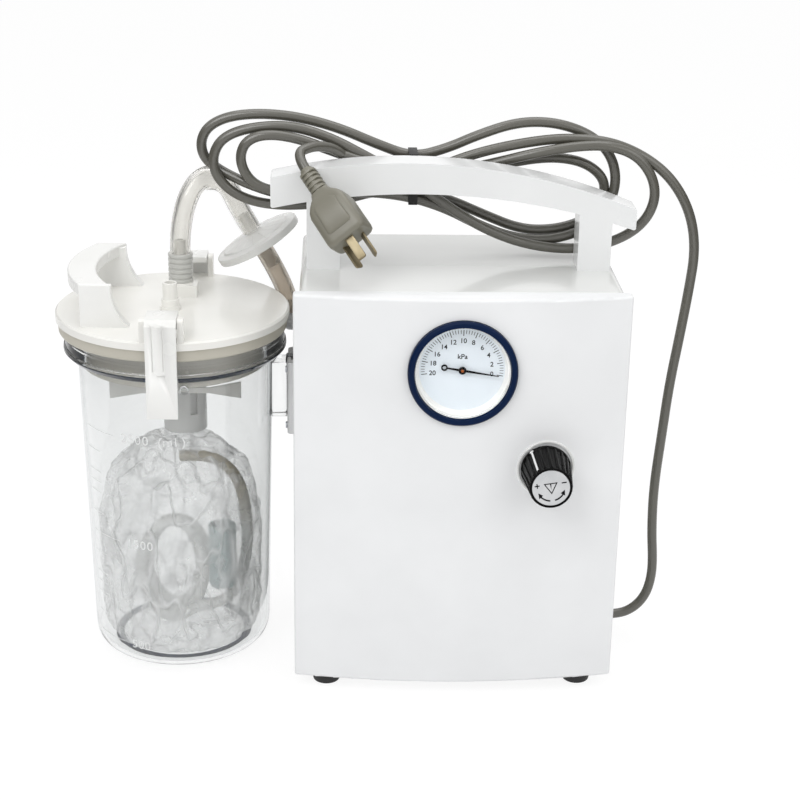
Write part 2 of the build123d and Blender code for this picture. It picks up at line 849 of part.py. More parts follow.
def bracket_screws():
    made = []
    for y in (jar_y - bracket_w / 2 + 4, jar_y + bracket_w / 2 - 4):
        for z in (bracket_low + 6, bracket_top - 6):
            made.append(rod_x(2.4, y, z, bracket_face - 1.2, bracket_face))
    return solids(*made)


def jar_outer_r(z):
    """Outer radius of the tapered wall at a height."""
    share = (z - jar_bottom) / (flange_low - jar_bottom)
    return jar_low_r + (jar_high_r - jar_low_r) * share


def jar_body(inset):
    """The jar's solid form, set in by its wall, up to the flange."""
    low = jar_bottom + inset
    form = turned([(0, low), (jar_outer_r(low) - inset, low), (jar_high_r - inset, flange_low),
                   (jar_high_r - inset, rim_top + (1 if inset else 0)), (0, rim_top + (1 if inset else 0))])
    return fillet(form.edges().group_by(Axis.Z)[0], jar_bottom_r - inset)


def jar_vessel():
    """Clear moulded jar with a flanged rim and a T-shaped hanging lug."""
    jar = jar_body(0)
    jar += turned([(jar_high_r - 2, flange_low), (flange_r - flange_bevel, flange_low),
                   (flange_r, flange_low + flange_bevel), (flange_r, flange_top), (rim_r, flange_top),
                   (rim_r, rim_top), (jar_high_r - 2, rim_top)])
    jar -= jar_body(jar_wall)
    jar = Pos(jar_x, jar_y, 0) * jar
    reach = jar_x + jar_outer_r(lug_low) - 1
    lug = block(reach, bracket_face - gap, jar_y - lug_w / 2, jar_y + lug_w / 2, lug_low, lug_top)
    lug += block(bracket_face - 1, bracket_face + 3 + gap + 1, jar_y - lug_neck_w / 2,
                 jar_y + lug_neck_w / 2, lug_low, lug_top)
    lug += block(bracket_face + 3 + gap, bracket_face + 3 + gap + lug_head_t, jar_y - lug_w / 2,
                 jar_y + lug_w / 2, lug_low, lug_top)
    return jar + lug


def accessory_bag():
    """Film bag that lies in the jar, closed round the spare hose."""
    low = jar_bottom + jar_wall + gap

    def pouch(inset):
        r = bag_r - inset
        return turned([(0, low + inset), (r - 16, low + inset), (r - 5, low + 6), (r, low + 22),
                       (r, bag_top - 50), (r - 9, bag_top - 16), (r - 26, bag_top - inset),
                       (0, bag_top - inset)])

    return Pos(jar_x, jar_y, 0) * (pouch(0) - pouch(bag_film))


def coil_centre():
    low = jar_bottom + jar_wall + gap + bag_film + gap
    return (jar_x, jar_y + 6, low + coil_r + coil_half_t)


def suction_hose_coil():
    """Spare suction hose, coiled and standing on edge in the bag."""
    section = Pos(coil_r, 0) * chamfer(Rectangle(2 * coil_half_t, 2 * coil_half_d).vertices(), 6)
    ring = revolve(section, axis=Axis.Y)
    return Pos(*coil_centre()) * ring


def hose_connector():
    """Grey-green sleeve connector beside the coil."""
    reach = (bag_r - bag_film - gap - connector_r) / math.sqrt(2)
    x, y = jar_x + reach, jar_y - reach
    low = jar_bottom + jar_wall + 53
    sleeve = rod_z(connector_r, x, y, low, low + connector_len)
    return sleeve - rod_z(connector_r - 2, x, y, low + 10, low + connector_len + 1)


# Lid

def lid_cover():
    """Moulded lid: a rim, a raised plate, two clip ears and the block for the ports."""
    lid = turned([(0, lid_low), (gasket_in_r - 3, lid_low), (gasket_in_r - 3, lid_low - 6),
                  (gasket_in_r - 1, lid_low - 6), (gasket_in_r - 1, lid_low + 0.5),
                  (lid_r, lid_low + 0.5), (lid_r, lid_top - 1.2), (lid_r - 1.2, lid_top), (0, lid_top)])
    lid = Pos(lid_x, jar_y, 0) * lid
    lid += rod_z(collar_r, patient_x, patient_y, lid_top - 1, lid_top + collar_h)
    lid += rod_z(ribbed_r, vacuum_x, vacuum_y, lid_top - 1, lid_top + vacuum_block_h)
    lid += block(vacuum_x - 3, block_right, block_front, vacuum_y + 4, lid_top - 1, lid_top + vacuum_block_h - 1)
    for side in (-1, 1):
        lid += clip_ears(side)
    lid -= rod_z(barb_bore_r, vacuum_x, vacuum_y, lid_low - 1, lid_top + vacuum_block_h + 1)
    lid -= rod_z(patient_bore_r, patient_x, patient_y, lid_low - 1, lid_top + collar_h + 1)
    return lid


def clip_x(side):
    """Middle of a clip: the rear one stands a little nearer to the case."""
    return clip_front_x if side < 0 else clip_back_x


def clip_ears(side):
    """The pair of ears on the lid that carry one clip's pin."""
    ears = None
    y_in = jar_y + side * (clip_pivot_r - 7)
    y_out = jar_y + side * (clip_pivot_r + 3.6)
    for hand in (-1, 1):
        x_in = clip_x(side) + hand * (clip_w / 2 + gap)
        x_out = x_in + hand * clip_ear_w
        ear = block(min(x_in, x_out), max(x_in, x_out), min(y_in, y_out), max(y_in, y_out),
                    lid_top - 1, lid_top + clip_pivot_up + 3.5)
        ear = fillet(ear.edges().filter_by(Axis.X).group_by(Axis.Z)[-1], 2.5)
        ears = ear if ears is None else ears + ear
    pin = rod_x(clip_pin_r + seat, jar_y + side * clip_pivot_r, lid_top + clip_pivot_up,
                clip_x(side) - clip_w, clip_x(side) + clip_w)
    return ears - pin


def clip_pins():
    made = []
    reach = clip_w / 2 + gap + clip_ear_w
    for side in (-1, 1):
        made.append(rod_x(clip_pin_r, jar_y + side * clip_pivot_r, lid_top + clip_pivot_up,
                          clip_x(side) - reach, clip_x(side) + reach))
    return solids(*made)


def lid_gasket():
    top = lid_low + 0.5 - seat
    return Pos(lid_x, jar_y, 0) * turned([(gasket_in_r, rim_top + gap), (gasket_r - 0.8, rim_top + gap),
                                          (gasket_r, rim_top + 1.2), (gasket_r, top), (gasket_in_r, top)])


def lid_handle():
    """Grip bowed outwards in plan on two flared legs."""
    mid = jar_y
    outer = ThreePointArc((grip_outer, grip_front_y), (grip_bulge, mid), (grip_outer, grip_back_y))
    inner = ThreePointArc((grip_inner, grip_front_y), (grip_inner_bulge, mid), (grip_inner, grip_back_y))
    ends = [Line((grip_outer, y), (grip_inner, y)) for y in (grip_front_y, grip_back_y)]
    grip = Pos(0, 0, grip_top - grip_t) * extrude(make_face(Curve() + [outer, inner] + ends), grip_t)
    grip = fillet(grip.edges().group_by(Axis.Z)[-1], 1.5)
    flare = ThreePointArc((grip_inner, grip_top - 2), (grip_inner + 3.4, lid_top + 12), (grip_flare, lid_top))
    sides = Polyline((grip_flare, lid_top), (grip_outer, lid_top), (grip_outer, grip_top - 2),
                     (grip_inner, grip_top - 2))
    leg = make_face(Curve() + [flare, sides])
    for y in (grip_front_y + grip_leg_t, grip_back_y):
        grip += extrude(Plane.XZ.offset(-y) * leg, grip_leg_t)
    return grip


def vacuum_connector():
    """Ribbed connector on the vacuum port, with a barb for the hose."""
    low = lid_top + vacuum_block_h + seat
    body = rod_z(ribbed_r, vacuum_x, vacuum_y, low, connector_top)
    step = (connector_top - low) / (ribbed_grooves + 1)
    for i in range(ribbed_grooves):
        ring = Cylinder(ribbed_r + 1, 1.2) - Cylinder(ribbed_r - 0.8, 1.2)
        body -= Pos(vacuum_x, vacuum_y, low + step * (i + 1)) * ring
    body += rod_z(hose_bore - seat, vacuum_x, vacuum_y, connector_top, connector_top + 10)
    return body - rod_z(barb_bore_r, vacuum_x, vacuum_y, low - 1, connector_top + 11)


def patient_port():
    """Stepped stub for the patient hose, in a collar of the lid."""
    low = lid_top + collar_h + seat
    stub = rod_z(patient_r, patient_x, patient_y, low, patient_top - patient_len)
    stub += rod_z(patient_step_r, patient_x, patient_y, low, patient_top)
    return stub - rod_z(patient_bore_r, patient_x, patient_y, low - 1, patient_top + 1)


def float_cage():
    """Slotted cage under the lid that holds the cut-off float."""
    top = lid_low - seat
    cage = rod_z(cage_r, cage_x, jar_y, cage_low, top)
    cage -= rod_z(cage_r - cage_wall, cage_x, jar_y, cage_low + cage_wall, top + 1)
    slot = block(0, cage_r + 2, -3, 3, cage_low + 14, top - 24)
    for i in range(cage_slots):
        cage -= Pos(cage_x, jar_y, 0) * Rot(0, 0, i * 360 / cage_slots) * slot
    return cage - rod_z(4, cage_x, jar_y, cage_low - 1, cage_low + 3)


def cutoff_float():
    low = cage_low + cage_wall + gap
    return Pos(cage_x, jar_y, low) * turned([(0, 0), (float_r - 2, 0), (float_r, 2), (float_r, float_h - 3),
                                             (4, float_h), (4, float_h + 3), (0, float_h + 3)])


def clip(side):
    """Snap clip: a strap over the rim with a knuckle on the pin and a hook under the flange."""
    pivot_z = lid_top + clip_pivot_up
    top = lid_top + clip_top_up
    hook_z = flange_low + flange_bevel - (flange_r - clip_hook_in) - gap * 1.5

    def at(r, z):
        return (side * r, z)

    outline = Polyline(at(clip_back_r, top), at(clip_out_r - 4, top), at(clip_out_r, top - 4),
                       at(clip_out_r, clip_bottom), at(clip_out_r - 2.2, clip_bottom),
                       at(clip_in_r, clip_bottom + 6), at(clip_in_r, hook_z - 5),
                       at(clip_hook_in, hook_z - 1), at(clip_hook_in, hook_z),
                       at(clip_in_r, hook_z + clip_in_r - clip_hook_in), at(clip_in_r, top - 6.5),
                       at(clip_in_r - 2.5, top - clip_t), at(clip_back_r, top - clip_t), close=True)
    face = make_face(outline) + Pos(side * clip_pivot_r, pivot_z) * Circle(clip_knuckle_r)
    face -= Pos(side * clip_pivot_r, pivot_z) * Circle(clip_pin_r + fit)
    flat = Plane(origin=(clip_x(side) - clip_w / 2, jar_y, 0), x_dir=(0, 1, 0), z_dir=(1, 0, 0))
    return extrude(flat * face, clip_w)


# Hoses and filter

def filter_axis():
    lean = math.radians(filter_lean)
    return Vector(-math.sin(lean), 0, math.cos(lean))


def along_filter(distance):
    """A point on the filter's axis, counted from its middle towards the inlet."""
    return Vector(filter_x, port_y, filter_z) + filter_axis() * distance


def filter_housing():
    """Disc filter: two shallow domes welded at the rim, with a barb on each side."""
    half = filter_t / 2
    rim = filter_rim_t / 2
    tip = half + filter_barb_len
    body = turned([(barb_bore_r, -tip), (barb_r, -tip), (barb_r, -half - 1), (10, -half),
                   (filter_r - 6, -rim - 1), (filter_r, -rim), (filter_r, rim), (filter_r - 6, rim + 1),
                   (10, half), (barb_r, half + 1), (barb_r, tip), (barb_bore_r, tip)])
    place = Plane(origin=along_filter(0), x_dir=(0, 1, 0), z_dir=filter_axis())
    return place.location * body


def hose_upper_route():
    start = (vacuum_x, vacuum_y, connector_top + seat)
    near = along_filter(filter_t / 2 + 2)
    over = along_filter(filter_t / 2 + filter_barb_len + 4)
    return [start, (vacuum_x, vacuum_y, 321.0), (-186.5, 117.0, 352.0), (-166.5, 127.0, 346.5),
            tuple(over), tuple(near)]


def hose_upper():
    return tube(hose_upper_route(), hose_r, hose_bore)


def hose_lower_route():
    near = along_filter(-filter_t / 2 - 2)
    reach = (port_x - filter_x) / math.sin(math.radians(filter_lean))
    corner = along_filter(-reach)
    return [tuple(near), tuple(corner), (port_x, port_y, port_top - 8)]


def hose_lower():
    """Short tube from the filter down over the barb of the side port."""
    return tube(hose_lower_route(), hose_r - 0.5, hose_bore)


# Mains cord

cord_drop_route = [(121, 78, 19), (133, 78, 19), (144.8, 79, 24.5), (152.5, 79, 35), (156, 80, 48),
                   (156.5, 80, 63), (154, 81, 90), (153.5, 82, 125), (157, 84, 165), (160.3, 86, 205),
                   (166, 88, 245), (170.5, 90, 280), (172.5, 90, 305), (169, 90, 328), (160, 90, 348),
                   (146, 90, 364), (127, 90.4, 376)]

plug_start = Vector(-106.0, 53.0, 371.0)
plug_way = Vector(0.516, -0.57, -0.631)
plug_side = Vector(0.77, 0, 0.63)

cord_lead_route = [(-74, 90.4, 362), (-80, 89, 373), (-91, 82, 381), (-103, 72, 384.5),
                   tuple(plug_start - plug_way * 16), tuple(plug_start)]


def mains_cord_drop():
    return tube(cord_drop_route, cord_r)


def mains_cord_lead():
    return tube(cord_lead_route, cord_r)


def loop_face(points):
    return make_face(Spline(*points, periodic=True))


def cord_hank():
    """Outer shape of the figure of eight: two open lobes that meet in the tie."""
    right = loop_face([(-32, 359), (-21, 376), (1, 386), (30, 397), (58, 400), (88, 396), (112, 388),
                       (132, 374), (143, 352), (140, 334), (126, 318), (106, 308), (78, 304), (48, 307),
                       (10, 324), (-20, 341)])
    right_open = loop_face([(18, 342), (44, 362), (78, 366), (100, 356), (103, 338), (84, 324), (52, 321)])
    left = loop_face([(-32, 359), (-42, 377), (-90, 397), (-145, 404), (-172, 398), (-184, 380), (-182, 364),
                      (-168, 346), (-140, 335), (-104, 333), (-66, 338), (-42, 343)])
    left_open = loop_face([(-80, 368), (-112, 384), (-138, 386), (-150, 378), (-146, 362), (-130, 351),
                           (-100, 350)])
    neck = Pos(tie_x, 359) * Rectangle(40, 30)
    flat = (right - right_open) + (left - left_open) + neck
    return extrude(Plane.XZ.offset(-hank_y - hank_d) * flat, hank_d)


def cord_tie():
    """Black tie round the crossing, against the back of the handle."""
    low, high = 359 - 15, 359 + 15
    x0, x1 = tie_x - tie_w / 2, tie_x + tie_w / 2
    y0, y1 = hank_y, hank_y + hank_d
    back = handle_y + handle_d + gap
    band = block(x0, x1, back, y1 + tie_t, low - tie_t, high + tie_t)
    return band - block(x0 - 1, x1 + 1, y0, y1, low, high)


def plug_frame():
    return Plane(origin=plug_start, x_dir=plug_side, z_dir=plug_way)


def plug_body():
    """Moulded three-pin plug with a slotted strain relief."""
    relief = Cone(cord_r + 1.4, 8, plug_neck_len, align=LOW)
    for i in range(3):
        z = 5 + i * 5.5
        ring = Cylinder(12, 1.8) - Cylinder(cord_r + 0.8, 1.8)
        relief -= Pos(0, 0, z) * ring
    sections = [(plug_neck_len, 16, 15, 4), (plug_neck_len + 12, 26, 20, 5), (plug_len - 8, plug_w, plug_t, 5),
                (plug_len, plug_w - 3, plug_t - 3, 4)]
    body = loft([Pos(0, 0, z) * RectangleRounded(w, t, r) for z, w, t, r in sections], ruled=True)
    return plug_frame().location * (relief + body)


def plug_blades():
    """Two slanted live blades and the upright earth blade."""
    made = []
    for x, y, turn in ((-blade_spread, -3, 30), (blade_spread, -3, -30), (0, 7, 90)):
        blade = Pos(x, y, plug_len) * Rot(0, 0, turn) * Box(blade_t, blade_w, blade_len, align=LOW)
        made.append(plug_frame().location * blade)
    return solids(*made)


nodes = {
    "front_panel": front_panel, "front_cover": front_cover, "rear_cover": rear_cover,
    "base_plate": base_plate, "case_screws": case_screws, "rubber_feet": rubber_feet,
    "foot_screws": foot_screws, "carry_handle": carry_handle, "handle_screws": handle_screws,
    "gauge_ring": gauge_ring, "gauge_case": gauge_case, "gauge_dial": gauge_dial,
    "gauge_lens": gauge_lens, "gauge_capsule": gauge_capsule, "gauge_pointer": gauge_pointer,
    "knob_skirt": knob_skirt, "knob_cap": knob_cap, "knob_stem": knob_stem,
    "regulator_body": regulator_body, "regulator_nut": regulator_nut,
    "regulator_plunger": regulator_plunger, "pump_mounts": pump_mounts, "pump_frame": pump_frame,
    "pump_coils": pump_coils, "pump_armature": pump_armature, "pump_diaphragms": pump_diaphragms,
    "pump_heads": pump_heads, "silencer": silencer, "inner_tubes": inner_tubes,
    "side_port": side_port, "switch_housing": switch_housing, "switch_rocker": switch_rocker,
    "fuse_holder": fuse_holder, "cord_gland": cord_gland, "jar_bracket": jar_bracket,
    "bracket_screws": bracket_screws, "jar_vessel": jar_vessel, "accessory_bag": accessory_bag,
    "suction_hose_coil": suction_hose_coil, "hose_connector": hose_connector,
    "lid_cover": lid_cover, "clip_pins": clip_pins, "lid_gasket": lid_gasket,
    "lid_handle": lid_handle, "vacuum_connector": vacuum_connector, "patient_port": patient_port,
    "float_cage": float_cage, "cutoff_float": cutoff_float, "clip_front": lambda: clip(-1),
    "clip_back": lambda: clip(1), "filter_housing": filter_housing, "hose_upper": hose_upper,
    "hose_lower": hose_lower, "mains_cord_drop": mains_cord_drop, "mains_cord_lead": mains_cord_lead,
    "cord_hank": cord_hank, "cord_tie": cord_tie, "plug_body": plug_body, "plug_blades": plug_blades,
}

os.makedirs("parts", exist_ok=True)
for name, make in nodes.items():
    export_step(Pos(-row_x, -row_y, 0) * make(), f"parts/{name}.step")

for name, route in (("cord drop", cord_drop_route), ("cord lead", cord_lead_route),
                    ("upper hose", hose_upper_route()), ("lower hose", hose_lower_route())):
    print(name, "bend radii", [round(r, 1) for r in bend_radii(route)])
print("row frame origin in the bench frame", round(row_x, 3), round(row_y, 3))
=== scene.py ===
"""Visual model of a portable vacuum aspirator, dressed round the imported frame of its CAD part.

Lengths in this file are drawing millimetres of the bench frame that the part was drawn in:
X = 0 in the middle of the front panel, Y = 0 at the panel's corners, Z = 0 on the table.
spot() turns them into the frame's metres. The frame's own boxes say where that bench frame lies.
"""
import json
import math
import bmesh
import bpy
from bpy.props import FloatProperty, FloatVectorProperty, IntProperty, PointerProperty
from mathutils import Matrix, Vector, noise


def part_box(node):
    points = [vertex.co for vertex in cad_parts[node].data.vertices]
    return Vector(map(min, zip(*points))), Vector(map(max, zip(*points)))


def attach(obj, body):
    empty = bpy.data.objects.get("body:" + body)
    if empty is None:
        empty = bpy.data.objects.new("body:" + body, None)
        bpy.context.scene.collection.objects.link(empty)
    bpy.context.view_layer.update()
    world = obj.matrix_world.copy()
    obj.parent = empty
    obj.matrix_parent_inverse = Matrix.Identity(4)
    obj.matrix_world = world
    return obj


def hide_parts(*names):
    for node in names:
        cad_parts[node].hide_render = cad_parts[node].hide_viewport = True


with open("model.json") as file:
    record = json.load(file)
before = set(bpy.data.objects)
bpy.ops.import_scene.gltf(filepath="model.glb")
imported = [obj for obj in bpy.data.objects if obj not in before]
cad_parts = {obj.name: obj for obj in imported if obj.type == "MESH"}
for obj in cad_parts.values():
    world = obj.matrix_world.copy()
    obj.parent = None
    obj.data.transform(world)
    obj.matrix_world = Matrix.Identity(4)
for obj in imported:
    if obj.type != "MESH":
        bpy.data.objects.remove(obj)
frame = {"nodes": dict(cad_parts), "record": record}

bl_info = {
    "name": "Vacuum aspirator",
    "version": (1, 0, 0),
    "blender": (4, 5, 0),
    "location": "View3D > Sidebar > Aspirator",
    "description": "Builds the visual model of a portable vacuum aspirator with its collecting jar",
    "category": "Object",
}

MM = 0.001
CASE_DEPTH = 151.0
PANEL_BOW = 11.0
PANEL_HALF = 115.0
BOW_RADIUS = (PANEL_HALF ** 2 + PANEL_BOW ** 2) / (2 * PANEL_BOW)
BENCH = Vector(((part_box("front_panel")[0].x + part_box("front_panel")[1].x) / 2,
                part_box("rear_cover")[1].y - CASE_DEPTH * MM, 0.0))
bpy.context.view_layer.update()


def spot(x, y, z):
    """A bench place in millimetres, as a point of the frame in metres."""
    return BENCH + Vector((x, y, z)) * MM


# Materials

def linear(code):
    """An sRGB hex colour as linear RGBA."""
    parts = [int(code[i:i + 2], 16) / 255 for i in (1, 3, 5)]
    return tuple(p / 12.92 if p <= 0.04045 else ((p + 0.055) / 1.055) ** 2.4 for p in parts) + (1.0,)


def add(tree, kind, values=None, **settings):
    """Adds a node. Values go to its sockets by name or number, and a socket as a value is linked."""
    made = tree.nodes.new(kind)
    for key, value in settings.items():
        setattr(made, key, value)
    for key, value in (values or {}).items():
        if isinstance(value, bpy.types.NodeSocket):
            tree.links.new(value, made.inputs[key])
        else:
            made.inputs[key].default_value = value
    return made


def blank(name):
    """An empty material with an output, and the place in object coordinates."""
    made = bpy.data.materials.new(name)
    made.use_nodes = True
    made.node_tree.nodes.clear()
    place = add(made.node_tree, "ShaderNodeTexCoord").outputs["Object"]
    return made, made.node_tree, place


def drift(tree, place, scale, low, high):
    """A value that wanders between low and high over the surface."""
    wave = add(tree, "ShaderNodeTexNoise", {"Vector": place, "Scale": scale, "Detail": 3.0})
    return add(tree, "ShaderNodeMapRange", {"Value": wave.outputs["Fac"], "From Min": 0.3, "From Max": 0.7,
                                            "To Min": low, "To Max": high}).outputs["Result"]


def shade(tree, place, colour, second, scale=14.0):
    """Two near tones of one colour that drift into each other."""
    return add(tree, "ShaderNodeMix", {0: drift(tree, place, scale, 0.0, 1.0), 6: linear(colour),
                                       7: linear(second)}, data_type="RGBA").outputs[2]


def finish(made, shader):
    """The material, with a shader as its surface."""
    add(made.node_tree, "ShaderNodeOutputMaterial", {"Surface": shader.outputs[0]})
    return made


def plastic(name, colour, second, rough, grain=0.5, depth=0.02, coat=0.0, shine=0.5):
    """Moulded plastic, rubber, ink or enamel: a fine skin in bump, and a gloss that drifts a little."""
    made, tree, place = blank(name)
    skin = add(tree, "ShaderNodeTexNoise", {"Vector": place, "Scale": 1 / (grain * MM), "Detail": 4.0})
    bump = add(tree, "ShaderNodeBump", {"Strength": 0.5, "Distance": depth * MM,
                                        "Height": skin.outputs["Fac"]})
    values = {"Base Color": shade(tree, place, colour, second), "IOR": 1.5,
              "Roughness": drift(tree, place, 30.0, rough - 0.03, rough + 0.05), "Normal": bump.outputs[0],
              "Specular IOR Level": shine}
    if coat:
        values.update({"Coat Weight": coat, "Coat Roughness": 0.06})
    return finish(made, add(tree, "ShaderNodeBsdfPrincipled", values))


def clear(name, colour, ior, rough, haze=0.0, streak=40.0, edge=None):
    """A clear moulded or extruded wall, with a slight haze and streak flow ripples to the metre; where an edge
    colour is given, the wall is painted darker in it where seen edge-on, as painted shade.
    """
    made, tree, place = blank(name)
    ripple = add(tree, "ShaderNodeTexNoise", {"Vector": place, "Scale": streak, "Detail": 2.0})
    bump = add(tree, "ShaderNodeBump", {"Strength": 0.3, "Distance": 0.3 * MM,
                                        "Height": ripple.outputs["Fac"]})
    tone = linear(colour)
    if edge:
        # Painted shade: where the wall is seen edge-on its colour turns to the darker edge colour, for the
        # dark edges that a clear wall shows
        edge_on_shade = add(tree, "ShaderNodeLayerWeight").outputs["Facing"]
        edge_on_shade = add(tree, "ShaderNodeMapRange", {"Value": edge_on_shade, "From Min": 0.72, "From Max": 0.98})
        tone = add(tree, "ShaderNodeMix", {0: edge_on_shade.outputs[0], 6: tone, 7: linear(edge)},
                   data_type="RGBA").outputs[2]
    wall = add(tree, "ShaderNodeBsdfPrincipled", {
        "Base Color": tone, "IOR": ior, "Transmission Weight": 1.0 - haze,
        "Roughness": drift(tree, place, 60.0, rough, rough + 0.03), "Normal": bump.outputs[0]})
    return finish(made, lit_through(tree, wall, colour, 1.0 - haze))


def lit_through(tree, wall, colour, share):
    """Lets a share of the lamps' light through a clear wall, onto what lies behind it."""
    lamp_ray = add(tree, "ShaderNodeLightPath").outputs["Is Shadow Ray"]
    passed = add(tree, "ShaderNodeMath", {0: lamp_ray, 1: share}, operation="MULTIPLY")
    open_way = add(tree, "ShaderNodeBsdfTransparent", {"Color": linear(colour)})
    return add(tree, "ShaderNodeMixShader", {0: passed.outputs[0], 1: wall.outputs[0],
                                             2: open_way.outputs[0]})


def metal(name, colour, second, rough, grain, along=(1.0, 1.0, 1.0), depth=0.01):
    """Bare metal: drawn, pressed or cast, with its grain stretched along one way."""
    made, tree, place = blank(name)
    stretch = add(tree, "ShaderNodeMapping", {"Vector": place, "Scale": along})
    scratch = add(tree, "ShaderNodeTexNoise", {"Vector": stretch.outputs[0], "Scale": 1 / (grain * MM),
                                               "Detail": 5.0})
    bump = add(tree, "ShaderNodeBump", {"Strength": 0.4, "Distance": depth * MM,
                                        "Height": scratch.outputs["Fac"]})
    return finish(made, add(tree, "ShaderNodeBsdfPrincipled", {
        "Base Color": shade(tree, place, colour, second, 60.0), "Metallic": 1.0,
        "Roughness": drift(tree, place, 200.0, rough - 0.05, rough + 0.08), "Normal": bump.outputs[0]}))


def film(name, colour):
    """Thin blown film, crumpled: mostly see-through, with creases in its bump and a painted highlight along
    them.
    """
    made, tree, place = blank(name)
    folds = add(tree, "ShaderNodeTexNoise", {"Vector": place, "Scale": 34.0, "Detail": 5.0,
                                             "Distortion": 1.4})
    # A crease runs where a slow noise crosses its middle value; two such nets, with meshes of
    # some 60 and 33 mm, cross each other
    ridges = []
    for scale, lean in ((17.0, (0.5, 0.3, 0.7)), (30.0, (-0.4, 0.8, -0.5))):
        skew = add(tree, "ShaderNodeMapping", {"Vector": place, "Rotation": lean, "Scale": (1.0, 1.0, 0.4)})
        wave = add(tree, "ShaderNodeTexNoise", {"Vector": skew.outputs[0], "Scale": scale, "Detail": 1.5})
        off = add(tree, "ShaderNodeMath", {0: wave.outputs["Fac"], 1: 0.5}, operation="SUBTRACT")
        off = add(tree, "ShaderNodeMath", {0: off.outputs[0]}, operation="ABSOLUTE")
        ridge = add(tree, "ShaderNodeMapRange", {"Value": off.outputs[0], "From Max": 0.022, "To Min": 1.0,
                                                 "To Max": 0.0})
        ridges.append(ridge.outputs[0])
    crease_and_highlight = add(tree, "ShaderNodeMath", {0: ridges[0], 1: ridges[1]}, operation="MAXIMUM").outputs[0]
    both = add(tree, "ShaderNodeMath", {0: crease_and_highlight, 1: 0.5, 2: folds.outputs["Fac"]}, operation="MULTIPLY_ADD")
    bump = add(tree, "ShaderNodeBump", {"Strength": 1.0, "Distance": 2.5 * MM, "Height": both.outputs[0]})
    cloud = add(tree, "ShaderNodeMapRange", {"Value": folds.outputs["Fac"], "From Min": 0.35, "From Max": 0.7,
                                             "To Min": 0.2, "To Max": 0.5})
    # Painted highlight: along the creases the film is made more opaque, so that they show as bright white
    # lines
    veil = add(tree, "ShaderNodeMath", {0: crease_and_highlight, 1: 0.42, 2: cloud.outputs[0]}, operation="MULTIPLY_ADD")
    return finish(made, add(tree, "ShaderNodeBsdfPrincipled", {
        "Base Color": linear(colour), "Roughness": 0.2, "IOR": 1.5, "Alpha": veil.outputs[0],
        "Normal": bump.outputs[0]}))


def stored_hose(name, colour, second):
    """Milky tube whose upper stretch is painted a darker tan, as painted shade where its turns overlap."""
    made, tree, place = blank(name)
    height = add(tree, "ShaderNodeSeparateXYZ", {0: place}).outputs[2]
    # Painted shade: above a height the milky colour turns to the darker tan
    share = add(tree, "ShaderNodeMapRange", {"Value": height, "From Min": 0.1, "From Max": 0.125})
    tone = add(tree, "ShaderNodeMix", {0: share.outputs[0], 6: linear(colour), 7: linear(second)},
               data_type="RGBA")
    wall = add(tree, "ShaderNodeBsdfPrincipled", {
        "Base Color": tone.outputs[2], "IOR": 1.4, "Transmission Weight": 0.2,
        "Roughness": drift(tree, place, 60.0, 0.18, 0.3)})
    return finish(made, lit_through(tree, wall, colour, 0.4))


MATERIALS = {}


def hex_code(colour):
    """An sRGB colour from the sidebar, as a hex code."""
    return "#" + "".join("%02x" % round(share * 255) for share in colour)


